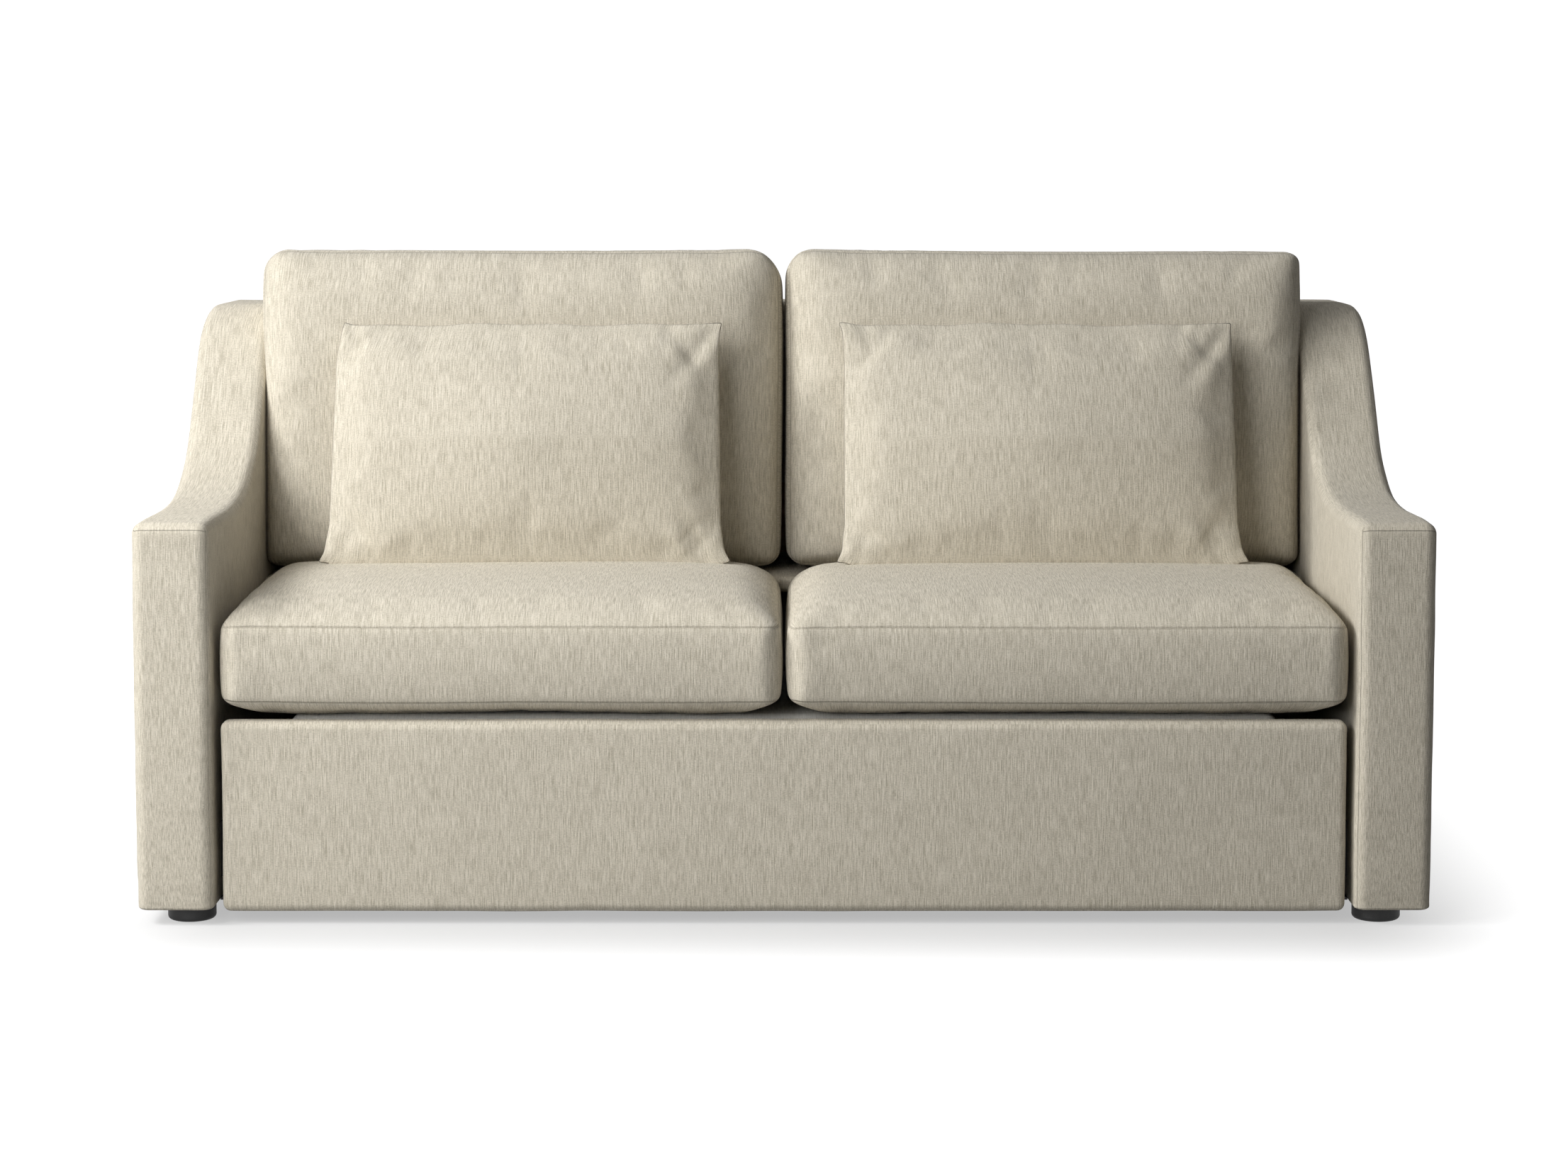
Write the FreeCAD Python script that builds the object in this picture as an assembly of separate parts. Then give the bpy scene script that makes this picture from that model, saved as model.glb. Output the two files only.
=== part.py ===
import FreeCAD, Part
import os
import math

# Sleeper sofa with a pull-out bed.  Millimetres, +Z up, front towards -Y.
# The bed is drawn folded inside the closed sofa.

V = FreeCAD.Vector
os.makedirs("parts", exist_ok=True)

# Arms, heights and shared clearances
ARM_W = 117.0
BASE_Z = 24.0
BACK_TOP = 911.0
SEAT_GAP = 0.3
RUN_GAP = 0.5

# Mattress and folding frame
TUBE = 16.0
TUBE_WALL = 1.5
SLAB_T = 76.0
BED_HALF = 762.0
FOLD_GAP = 1.0
MID_L = 458.0
FOOT_L = 455.0
HEAD_L = 725.0
TURN_GAP = 4.0
END_GAP = 14.0
HALF_T = TUBE / 2
HINGE_GAP = 0.75
SLAB_EDGE_R = 9.0
CROSS_IN = 32.0

# Side lanes of the mechanism, half widths from the mattress out to the arms
FRAME_OUT = 22.0
EAR_T = 4.0
EAR_R = 9.0
EAR_L = 58.0
PIN_R = 3.9
PIN_HOLE_R = 4.0
PIN_HEAD_R = 6.5
PIN_HEAD_T = 1.6
LEG_W = 14.0
LEG_GAP = 3.0
LINK_T = 6.0
LINK_R = 15.0
LINK_GAP = 5.0
RAIL_STAND = 18.0
RAIL_T = 6.0
PACK_W = 15.0
TUBE_X = BED_HALF + FRAME_OUT
FOOT_TUBE_X = TUBE_X - EAR_T - RUN_GAP
MID_LEG_X = TUBE_X + 2 * EAR_T
FOOT_LEG_X = MID_LEG_X + LEG_W + LEG_GAP
LINK_X = FOOT_LEG_X + LEG_W + LINK_GAP
RAIL_X = LINK_X + LINK_T + RAIL_STAND
INNER = RAIL_X + RAIL_T + PACK_W
HALF_W = INNER + ARM_W
WIDTH = 2 * HALF_W

# Depths from the front of the arms to the back of the sofa
HINGE_IN = 64.0
HEAD_CLEAR = 41.0
BACK_DEEP = 160.0
DEPTH = HINGE_IN + HEAD_L + HEAD_CLEAR + BACK_DEEP
FRONT_Y = -DEPTH / 2
REAR_Y = DEPTH / 2
P_Y = FRONT_Y + HINGE_IN
BACK_LOW_Y = REAR_Y - BACK_DEEP

# Fold points: P head to body, Q body to mid, S mid to foot
FRAME_LIFT = 20.0
P_Z = BASE_Z + FRAME_LIFT
BODY_L = 2 * SLAB_T + TUBE + FOLD_GAP
Q_Y = P_Y
Q_Z = P_Z + BODY_L
S_Y = Q_Y + MID_L
S_Z = Q_Z + HALF_T + HINGE_GAP
FOOT_Z = S_Z + HINGE_GAP + HALF_T
SLAB_TOP = FOOT_Z + HALF_T + SLAB_T

# Lift links
BED_Z = 340.0
LINK_LOW = -15.0
LINK_HIGH = 90.0
FRONT_LINK_BACK = 250.0
REAR_LINK_BACK = 550.0
STUD_R = 5.9
STUD_HOLE_R = 6.0
STUD_HEAD_R = 10.0
STUD_NECK_R = 8.0
STUD_HEAD_T = 2.5

# Arm outline: depth behind the front against height of the top edge
ARM_FRONT_Z = 613.0
ARM_TOP = [(240.0, 617.0), (314.0, 621.0), (381.0, 632.0), (451.0, 660.0), (511.0, 702.0)]
ARM_TOP += [(594.0, 807.0), (647.0, 868.0), (700.0, 899.0), (765.0, BACK_TOP)]
ARM_EDGE_R = 13.0
COVER_T = 12.0
PLY_T = 15.0

# Back rest and the ledge under the back cushions
LEDGE_CLEAR = 16.0
LEDGE_DEEP = 280.0
LEDGE_T = 26.0
LEDGE_R = 10.0
BACK_STEP = 45.0
BACK_LEAN = 50.0
BACK_EDGE_R = 20.0
LEDGE_Z = BED_Z + HALF_T + SLAB_T + LEDGE_CLEAR
LEDGE_Y = BACK_LOW_Y - LEDGE_DEEP
BACK_FOOT_Y = BACK_LOW_Y - BACK_STEP
BACK_HEAD_Y = BACK_FOOT_Y + BACK_LEAN
CLEAT_W = 22.0
CLEAT_H = 32.0
CLEAT_IN = 20.0

# Feet
FOOT_R = 37.0
FOOT_IN = 60.0
FOOT_SIDE = 75.0
FOOT_EDGE_R = 6.0
FOOT_PLATE_T = 15.0
FOOT_BOLT_R = 4.0
FOOT_BOLT_L = 30.0
FOOT_SINK = 6.0
FOOT_HEAD_R = 9.0
FOOT_X = HALF_W - FOOT_SIDE

# Legs of the open bed
LEG_H = 16.0
LEG_FLOOR_GAP = 0.5
MID_LEG_BACK = 128.0
FOOT_LEG_IN = 30.0
GLIDE_T = 14.0
GLIDE_SINK = 10.0
GLIDE_WALL = 1.6
GLIDE_R = 3.0
LEG_BORE_R = 4.1
LEG_PIN_R = 4.0
LEG_PIN_HEAD_R = 7.0
LEG_PIN_END = 2.0
LEG_L = BED_Z - GLIDE_T - LEG_FLOOR_GAP

# Deck under the mattress
DECK_T = 1.6
DECK_EDGE = 46.0
SPRING_R = 4.0
SPRING_PITCH = 52.0
SPRING_END = 45.0
STRAP_HALF = 30.0
STRAP_T = 2.5
STRAP_UP = 58.0

# Front panel
PANEL_SIDE = 15.0
PANEL_IN = 13.0
PANEL_DROP = 1.5
PANEL_BACK_GAP = 13.0
PANEL_R = 12.0
BOARD_T = 12.0
BOARD_IN = 14.0
SCREW_R = 3.0
SCREW_L = 22.0
PLATE_T = 3.0
PLATE_IN = 52.0
PANEL_HALF = INNER - PANEL_SIDE
PANEL_FRONT = FRONT_Y + PANEL_IN
PANEL_TOP = SLAB_TOP - PANEL_DROP

# Fixed mechanism rails
RAIL_IN = 7.0
RAIL_END = 5.0
PACK_H = 86.0
RAIL_H = 66.0
RAIL_LIP = 12.0
LIP_T = 3.0
BOLT_R = 4.0
BOLT_HEAD_R = 8.0
BOLT_HEAD_T = 4.0
BOLT_STEPS = (0.2, 0.6, 0.95)
PACK_Y0 = P_Y + RAIL_IN
PACK_Y1 = BACK_LOW_Y - RAIL_END

# Stretcher and dust cover
STRETCH_UP = 1.0
STRETCH_T = 4.0
STRETCH_W = 38.0
DUST_GAP = 6.0
DUST_T = 1.2
DUST_Y0 = PACK_Y0 + STRETCH_W + DUST_GAP

# Soft edges shared by the cushions
SIDE_DRAW = 5.0
CROWN_REACH = 165.0
CROWN_GROW = 12.0
CROWN_POWER = 2.0
CROWN_STEPS = 5
UNDER_STEPS = 3
CLOSE_START = 20.0
CLOSE_STEPS = 6

# Seat cushions
SEAT_IN = 6.0
SEAT_BEHIND = 9.0
SEAT_SIDE = 11.0
SEAT_MID_GAP = 1.0
SEAT_UNDER = 16.5
SEAT_BAND = 126.0
SEAT_DOME = 48.0
SEAT_R = 32.0
SEAT_UNDER_REACH = 95.0
SEAT_FRONT = FRONT_Y + SEAT_IN
SEAT_REAR = LEDGE_Y - SEAT_BEHIND
SEAT_HALF = INNER - SEAT_SIDE
SEAT_LOW = SLAB_TOP + SEAT_UNDER
SEAT_SEAM = SEAT_LOW + SEAT_BAND
SEAT_CROWN = SEAT_SEAM + SEAT_DOME

# Back cushions
BACK_SIDE = 2.0
BACK_H = 541.0
BACK_T = 262.0
BACK_R = 46.0
BACK_REAR_REACH = 60.0
BACK_SEAM = 46.0
BACK_W = INNER - BACK_SIDE
BACK_TILT = math.degrees(math.atan2(BACK_LEAN, BACK_TOP - LEDGE_Z))

# Lumbar pillows
PILLOW_REACH = 150.0
PILLOW_GROW = 22.0
PILLOW_W = 650.0
PILLOW_H = 412.0
PILLOW_T = 134.0
PILLOW_R = 9.0
PILLOW_SHIFT = 7.0
PILLOW_TILT = 17.0
PILLOW_START = 200.0
PILLOW_X = SEAT_HALF / 2 - PILLOW_SHIFT


def box(x0, x1, y0, y1, z0, z1):
    return Part.makeBox(x1 - x0, y1 - y0, z1 - z0, V(x0, y0, z0))


def rod(y, z, r, x0, x1):
    return Part.makeCylinder(r, x1 - x0, V(x0, y, z), V(1, 0, 0))


def flip(shape):
    return shape.mirror(V(0, 0, 0), V(1, 0, 0))


def both(shapes):
    out = []
    for shape in shapes:
        out.append(shape)
        out.append(flip(shape))
    return out


def save(name, shapes):
    if not isinstance(shapes, list):
        shapes = [shapes]
    solids = []
    for shape in shapes:
        solids.extend(shape.Solids)
    whole = solids[0]
    if len(solids) > 1:
        whole = Part.makeCompound(solids)
    whole.exportStep("parts/" + name + ".step")
    bb = whole.BoundBox
    print(name, len(solids), whole.isValid(), [round(v, 1) for v in (bb.XMin, bb.XMax, bb.YMin, bb.YMax, bb.ZMin, bb.ZMax)])
    return whole


def outline(x0, x1, y0, y1, r, z):
    """Closed wire of a rectangle with round corners at height z."""
    q = r * (1 - math.sqrt(0.5))
    a = [V(x0 + r, y0, z), V(x1 - r, y0, z), V(x1 - q, y0 + q, z), V(x1, y0 + r, z)]
    b = [V(x1, y1 - r, z), V(x1 - q, y1 - q, z), V(x1 - r, y1, z), V(x0 + r, y1, z)]
    c = [V(x0 + q, y1 - q, z), V(x0, y1 - r, z), V(x0, y0 + r, z), V(x0 + q, y0 + q, z)]
    edges = [Part.makeLine(a[0], a[1]), Part.Arc(a[1], a[2], a[3]).toShape()]
    edges += [Part.makeLine(a[3], b[0]), Part.Arc(b[0], b[1], b[2]).toShape()]
    edges += [Part.makeLine(b[2], b[3]), Part.Arc(b[3], c[0], c[1]).toShape()]
    edges += [Part.makeLine(c[1], c[2]), Part.Arc(c[2], c[3], a[0]).toShape()]
    return Part.Wire(edges)


def cushion(x0, x1, y0, y1, r, layers):
    """Soft block: round-cornered outlines drawn in by the given inset at each height."""
    wires = []
    for z, inset, grow in layers:
        wires.append(outline(x0 + inset, x1 - inset, y0 + inset, y1 - inset, r + grow, z))
    return Part.makeLoft(wires, True, True)


def crown(z_seam, z_top, inset, reach, grow, steps, power):
    """Layers from a seam at z_seam to a flat top at z_top, drawn in by reach."""
    out = []
    for i in range(1, steps + 1):
        share = i / steps
        z = z_seam + (z_top - z_seam) * (1 - (1 - share) ** power)
        out.append((z, inset + reach * share, grow * share))
    return out


def tube_x(x0, x1, y, z):
    """Square tube along X centred on (y, z)."""
    w = HALF_T - TUBE_WALL
    solid = box(x0, x1, y - HALF_T, y + HALF_T, z - HALF_T, z + HALF_T)
    return solid.cut(box(x0, x1, y - w, y + w, z - w, z + w))


def tube_y(x0, y0, y1, z):
    """Square tube along Y with its inner face at x0."""
    w = TUBE_WALL
    solid = box(x0, x0 + TUBE, y0, y1, z - HALF_T, z + HALF_T)
    return solid.cut(box(x0 + w, x0 + TUBE - w, y0, y1, z - HALF_T + w, z + HALF_T - w))


def tube_z(x0, y, z0, z1):
    """Square tube along Z with its inner face at x0."""
    w = TUBE_WALL
    solid = box(x0, x0 + TUBE, y - HALF_T, y + HALF_T, z0, z1)
    return solid.cut(box(x0 + w, x0 + TUBE - w, y - HALF_T + w, y + HALF_T - w, z0, z1))


def ear_y(x0, y, z, y_far, hole_r):
    """Flat ear plate with a round eye at (y, z) running level to y_far."""
    low = min(y, y_far)
    high = max(y, y_far)
    plate = box(x0, x0 + EAR_T, low, high, z - HALF_T, z + HALF_T)
    plate = plate.fuse(rod(y, z, EAR_R, x0, x0 + EAR_T))
    return plate.cut(rod(y, z, hole_r, x0 - 1, x0 + EAR_T + 1))


def ear_z(x0, y, z, z_far, hole_r):
    """Flat ear plate with a round eye at (y, z) running upright to z_far."""
    low = min(z, z_far)
    high = max(z, z_far)
    plate = box(x0, x0 + EAR_T, y - HALF_T, y + HALF_T, low, high)
    plate = plate.fuse(rod(y, z, EAR_R, x0, x0 + EAR_T))
    return plate.cut(rod(y, z, hole_r, x0 - 1, x0 + EAR_T + 1))


def pin(y, z, x0, x1, r, head_r, head_t):
    """Rivet along X from x0 to x1 with a head on each end, outside x0 and x1."""
    body = rod(y, z, r, x0 - head_t, x1 + head_t)
    body = body.fuse(rod(y, z, head_r, x0 - head_t, x0))
    return body.fuse(rod(y, z, head_r, x1, x1 + head_t))


def arm_profile(inset):
    """Side outline of an arm in the YZ plane, drawn in by inset, open downwards."""
    pts = []
    for d, z in ARM_TOP:
        pts.append(V(0, FRONT_Y + d, z - inset))
    top_front = V(0, FRONT_Y + inset, ARM_FRONT_Z - inset)
    top_rear = V(0, REAR_Y - inset, BACK_TOP - inset)
    rise = pts[0] - V(0, FRONT_Y, ARM_FRONT_Z - inset)
    top_front.z = pts[0].z - rise.z * (pts[0].y - top_front.y) / rise.y
    curve = Part.BSplineCurve()
    curve.interpolate(Points=pts, InitialTangent=rise.normalize(), FinalTangent=V(0, 1, 0))
    low_front = V(0, FRONT_Y + inset, BASE_Z)
    low_rear = V(0, REAR_Y - inset, BASE_Z)
    edges = [Part.makeLine(low_front, top_front), Part.makeLine(top_front, pts[0]), curve.toShape()]
    edges += [Part.makeLine(pts[-1], top_rear), Part.makeLine(top_rear, low_rear)]
    edges.append(Part.makeLine(low_rear, low_front))
    return Part.Face(Part.Wire(edges))


def prism(face, x0, x1):
    solid = face.extrude(V(x1 - x0, 0, 0))
    solid.translate(V(x0, 0, 0))
    return solid


def plane_edges(solid, axis, value):
    """Edges that lie wholly in the plane axis = value."""
    out = []
    for edge in solid.Edges:
        bb = edge.BoundBox
        low = getattr(bb, axis + "Min")
        high = getattr(bb, axis + "Max")
        if abs(low - value) < RUN_GAP and abs(high - value) < RUN_GAP:
            out.append(edge)
    return out


# Arms: padded cover over a plywood box, both open at the bottom
def make_arm():
    cover = prism(arm_profile(0), INNER, HALF_W)
    edges = []
    for edge in cover.Edges:
        if edge.BoundBox.ZMax > BASE_Z + 1:
            edges.append(edge)
    cover = cover.makeFillet(ARM_EDGE_R, edges)
    cover = cover.cut(prism(arm_profile(COVER_T), INNER + COVER_T, HALF_W - COVER_T))
    gap = COVER_T + SEAT_GAP
    frame = prism(arm_profile(gap), INNER + gap, HALF_W - gap)
    deep = gap + PLY_T
    frame = frame.cut(prism(arm_profile(deep), INNER + deep, HALF_W - deep))
    for y in (FRONT_Y + FOOT_IN, REAR_Y - FOOT_IN):
        pad = box(INNER + gap, HALF_W - gap, y - FOOT_R, y + FOOT_R, BASE_Z, BASE_Z + FOOT_PLATE_T)
        frame = frame.fuse(pad)
        hole = Part.makeCylinder(FOOT_BOLT_R + SEAT_GAP, FOOT_BOLT_L, V(FOOT_X, y, BASE_Z))
        frame = frame.cut(hole)
    return cover, frame


cover, frame = make_arm()
save("arm_cover_right", cover)
save("arm_cover_left", flip(cover))
save("arm_frame_right", frame)
save("arm_frame_left", flip(frame))

# Feet, one near each corner, each with its bolt
feet = []
bolts = []
for x in (-FOOT_X, FOOT_X):
    for y in (FRONT_Y + FOOT_IN, REAR_Y - FOOT_IN):
        foot = Part.makeCylinder(FOOT_R, BASE_Z, V(x, y, 0))
        foot = foot.makeFillet(FOOT_EDGE_R, plane_edges(foot, "Z", 0.0))
        foot = foot.cut(Part.makeCylinder(FOOT_HEAD_R + SEAT_GAP, FOOT_SINK, V(x, y, 0)))
        foot = foot.cut(Part.makeCylinder(FOOT_BOLT_R + SEAT_GAP, BASE_Z, V(x, y, 0)))
        feet.append(foot)
        bolt = Part.makeCylinder(FOOT_BOLT_R, FOOT_BOLT_L, V(x, y, FOOT_SINK))
        head = Part.makeCylinder(FOOT_HEAD_R, FOOT_SINK / 2, V(x, y, FOOT_SINK / 2))
        bolts.append(bolt.fuse(head))
save("feet", feet)
save("foot_bolts", bolts)


# Back rest between the arms
def back_profile(inset):
    shelf = LEDGE_Z + LEDGE_T
    slope = (BACK_HEAD_Y - BACK_FOOT_Y) / (BACK_TOP - LEDGE_Z)
    low = shelf
    if inset > 0:
        low = shelf + inset
    top = BACK_TOP - inset
    y_low = BACK_FOOT_Y + slope * (low - LEDGE_Z) + inset
    y_top = BACK_FOOT_Y + slope * (top - LEDGE_Z) + inset
    pts = [V(0, BACK_LOW_Y + inset, BASE_Z), V(0, BACK_LOW_Y + inset, low), V(0, y_low, low)]
    pts += [V(0, y_top, top), V(0, REAR_Y - inset, top), V(0, REAR_Y - inset, BASE_Z)]
    pts.append(pts[0])
    return Part.Face(Part.makePolygon(pts))


back = prism(back_profile(0), -INNER, INNER)
top_edges = plane_edges(back, "Z", BACK_TOP)
long_edges = [e for e in top_edges if e.BoundBox.XLength > INNER]
back = back.makeFillet(BACK_EDGE_R, long_edges)
back = back.cut(prism(back_profile(COVER_T), COVER_T - INNER, INNER - COVER_T))
save("back_cover", back)
deep = COVER_T + PLY_T
back_frame = prism(back_profile(COVER_T), COVER_T - INNER, INNER - COVER_T)
back_frame = back_frame.cut(prism(back_profile(deep), deep - INNER, INNER - deep))
save("back_frame", back_frame)

# Ledge that carries the back cushions, on a cleat at each end
ledge = box(-INNER, INNER, LEDGE_Y, BACK_LOW_Y, LEDGE_Z, LEDGE_Z + LEDGE_T)
ledge_edges = [e for e in plane_edges(ledge, "Y", LEDGE_Y) if e.BoundBox.XLength > INNER]
save("back_ledge", ledge.makeFillet(LEDGE_R, ledge_edges))
cleat = box(INNER - CLEAT_W, INNER, LEDGE_Y + CLEAT_IN, BACK_LOW_Y, LEDGE_Z - CLEAT_H, LEDGE_Z)
save("ledge_cleats", both([cleat]))

# Base: front stretcher and dust cover between the arms
low_z = BASE_Z + STRETCH_UP
stretch = box(-INNER, INNER, PACK_Y0, PACK_Y0 + STRETCH_W, low_z, low_z + STRETCH_T)
save("front_stretcher", stretch)
save("dust_cover", box(-INNER, INNER, DUST_Y0, BACK_LOW_Y, BASE_Z, BASE_Z + DUST_T))

# Lift links and the fixed rails that carry them
low = math.radians(LINK_LOW)
high = math.radians(LINK_HIGH)
LINK_L = (BED_Z - P_Z) / (math.sin(high) - math.sin(low))
ROOT_Y = P_Y - LINK_L * math.cos(low)
ROOT_Z = P_Z - LINK_L * math.sin(low)
backs = (FRONT_LINK_BACK, REAR_LINK_BACK)
print("LINK", LINK_L, ROOT_Y, ROOT_Z, "P", P_Y, P_Z, "Q", Q_Y, Q_Z, "S", S_Y, S_Z, "top", SLAB_TOP)

pack_z = ROOT_Z - PACK_H / 2
rail_z = ROOT_Z - RAIL_H / 2
packer = box(RAIL_X + RAIL_T, INNER, PACK_Y0, PACK_Y1, pack_z, pack_z + PACK_H)
save("rail_packers", both([packer]))
rail = box(RAIL_X, RAIL_X + RAIL_T, PACK_Y0, PACK_Y1, rail_z, rail_z + RAIL_H)
for z in (rail_z, rail_z + RAIL_H - LIP_T):
    rail = rail.fuse(box(RAIL_X - RAIL_LIP, RAIL_X, PACK_Y0, PACK_Y1, z, z + LIP_T))
for back_y in backs:
    rail = rail.cut(rod(ROOT_Y + back_y, ROOT_Z, STUD_HOLE_R, RAIL_X - 1, INNER))
bolt_ys = []
for step in BOLT_STEPS:
    bolt_ys.append(PACK_Y0 + step * (PACK_Y1 - PACK_Y0))
rail_bolts = []
for y in bolt_ys:
    rail = rail.cut(rod(y, ROOT_Z, BOLT_R + SEAT_GAP, RAIL_X - 1, INNER))
    bolt = rod(y, ROOT_Z, BOLT_R, RAIL_X - BOLT_HEAD_T, RAIL_X + RAIL_T)
    rail_bolts.append(bolt.fuse(rod(y, ROOT_Z, BOLT_HEAD_R, RAIL_X - BOLT_HEAD_T, RAIL_X)))
save("mechanism_rails", both([rail]))
save("rail_bolts", both(rail_bolts))

root_pins = []
for back_y in backs:
    y = ROOT_Y + back_y
    stud = rod(y, ROOT_Z, STUD_R, LINK_X - STUD_HEAD_T - RUN_GAP, RAIL_X + RAIL_T)
    stud = stud.fuse(rod(y, ROOT_Z, STUD_HEAD_R, LINK_X - STUD_HEAD_T - RUN_GAP, LINK_X - RUN_GAP))
    collar = rod(y, ROOT_Z, STUD_HEAD_R, LINK_X + LINK_T + RUN_GAP, RAIL_X)
    root_pins.append(stud.fuse(collar))
save("link_root_pins", both(root_pins))


def make_link(y, z):
    """Flat bar from the fixed pivot at (y, z), drawn in its low position."""
    bar = box(LINK_X, LINK_X + LINK_T, y, y + LINK_L, z - LINK_R, z + LINK_R)
    bar = bar.fuse(rod(y, z, LINK_R, LINK_X, LINK_X + LINK_T))
    bar = bar.fuse(rod(y + LINK_L, z, LINK_R, LINK_X, LINK_X + LINK_T)).removeSplitter()
    for eye in (y, y + LINK_L):
        bar = bar.cut(rod(eye, z, STUD_HOLE_R, LINK_X - 1, LINK_X + LINK_T + 1))
    bar.rotate(V(0, y, z), V(1, 0, 0), LINK_LOW)
    return bar


save("front_lift_links", both([make_link(ROOT_Y + FRONT_LINK_BACK, ROOT_Z)]))
save("rear_lift_links", both([make_link(ROOT_Y + REAR_LINK_BACK, ROOT_Z)]))


def make_springs(x0, x1, y0, y1, z):
    """Row of deck springs from the cloth edge to the side tube, both sides."""
    count = int((y1 - y0 - 2 * SPRING_END) // SPRING_PITCH) + 1
    start = (y0 + y1 - (count - 1) * SPRING_PITCH) / 2
    out = []
    for i in range(count):
        out.append(rod(start + i * SPRING_PITCH, z, SPRING_R, x0, x1))
    return both(out)


def slab(y0, y1, z0, z1, x_half):
    """Mattress part with softened edges."""
    block = box(-x_half, x_half, y0, y1, z0, z1)
    return block.makeFillet(SLAB_EDGE_R, block.Edges)


# Head section
in_x = TUBE_X - TUBE
h_front = P_Y + END_GAP
h_rear = P_Y + HEAD_L
side = tube_y(in_x, h_front, h_rear, P_Z)
ear = ear_y(TUBE_X, P_Y, P_Z, P_Y + EAR_L, PIN_HOLE_R)
head_frame = side.fuse(ear)
for back_y in backs:
    y = P_Y + back_y
    stud = rod(y, P_Z, STUD_NECK_R, TUBE_X, LINK_X - RUN_GAP)
    tip = LINK_X + LINK_T + RUN_GAP + STUD_HEAD_T
    stud = stud.fuse(rod(y, P_Z, STUD_R, TUBE_X, tip))
    head_frame = head_frame.fuse(stud.fuse(rod(y, P_Z, STUD_HEAD_R, tip - STUD_HEAD_T, tip)))
head_frame = head_frame.fuse(flip(head_frame))
for y in (h_front + HALF_T, h_rear - HALF_T):
    head_frame = head_frame.fuse(tube_x(-in_x, in_x, y, P_Z))
save("head_frame", head_frame)
cloth_x = in_x - DECK_EDGE
top = P_Z + HALF_T
save("head_deck", box(-cloth_x, cloth_x, h_front + TUBE, h_rear - TUBE, top - DECK_T, top))
save("head_deck_springs", make_springs(cloth_x, in_x, h_front + TUBE, h_rear - TUBE, top - SPRING_R))
slab_y = P_Y + HALF_T + SLAB_T + TURN_GAP
save("mattress_head", slab(slab_y, h_rear, top, top + SLAB_T, BED_HALF))
save("head_hinge_pins", both([pin(P_Y, P_Z, in_x, TUBE_X + EAR_T, PIN_R, PIN_HEAD_R, PIN_HEAD_T)]))

# Body section with the front panel on its outer side
upright = tube_z(in_x, P_Y, P_Z - EAR_R, Q_Z - END_GAP)
upright = upright.cut(rod(P_Y, P_Z, PIN_HOLE_R, in_x - 1, TUBE_X + 1))
body_frame = upright.fuse(ear_z(TUBE_X, Q_Y, Q_Z, Q_Z - EAR_L, PIN_HOLE_R))
panel_back = P_Y - PANEL_BACK_GAP
plate = box(in_x - PLATE_IN, TUBE_X, panel_back, panel_back + PLATE_T, P_Z + CROSS_IN, Q_Z - CROSS_IN)
plate = plate.fuse(box(in_x, TUBE_X, panel_back, P_Y - HALF_T, P_Z + CROSS_IN, Q_Z - CROSS_IN))
screw_x = in_x - PLATE_IN / 2
screw_zs = (P_Z + CROSS_IN + END_GAP, Q_Z - CROSS_IN - END_GAP)


def screw_y(x, z, r, y_head, length):
    return Part.makeCylinder(r, length, V(x, y_head, z), V(0, -1, 0))


board = box(BOARD_IN - PANEL_HALF, PANEL_HALF - BOARD_IN, panel_back - BOARD_T, panel_back,
            BASE_Z + BOARD_IN, PANEL_TOP - BOARD_IN)
screws = []
for z in screw_zs:
    y_head = panel_back + PLATE_T
    plate = plate.cut(screw_y(screw_x, z, SCREW_R + SEAT_GAP, y_head, PLATE_T))
    for x in (-screw_x, screw_x):
        board = board.cut(screw_y(x, z, SCREW_R + SEAT_GAP, y_head, SCREW_L))
        one = screw_y(x, z, SCREW_R, y_head, PLATE_T + BOARD_T)
        one = one.fuse(screw_y(x, z, 2 * SCREW_R, y_head + PIN_HEAD_T, PIN_HEAD_T))
        screws.append(one)
body_frame = body_frame.fuse(plate)
body_frame = body_frame.fuse(flip(body_frame))
cross_zs = (P_Z + CROSS_IN, Q_Z - CROSS_IN)
for z in cross_zs:
    body_frame = body_frame.fuse(tube_x(-in_x, in_x, P_Y, z))
save("body_frame", body_frame)
save("panel_screws", screws)
save("panel_board", board)
panel = box(-PANEL_HALF, PANEL_HALF, PANEL_FRONT, panel_back, BASE_Z, PANEL_TOP)
panel = panel.makeFillet(PANEL_R, plane_edges(panel, "Y", PANEL_FRONT))
panel = panel.cut(box(BOARD_IN - PANEL_HALF, PANEL_HALF - BOARD_IN, panel_back - BOARD_T, panel_back,
                      BASE_Z + BOARD_IN, PANEL_TOP - BOARD_IN))
save("front_panel", panel)
save("body_deck", box(-in_x, in_x, P_Y, P_Y + HALF_T, cross_zs[0] + HALF_T, cross_zs[1] - HALF_T))
slab_z = P_Z + HALF_T + TURN_GAP / 2
save("mattress_body", slab(P_Y + HALF_T, P_Y + HALF_T + SLAB_T, slab_z, Q_Z - HALF_T - TURN_GAP / 2, BED_HALF))
save("body_hinge_pins", both([pin(Q_Y, Q_Z, in_x, TUBE_X + EAR_T, PIN_R, PIN_HEAD_R, PIN_HEAD_T)]))

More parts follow.
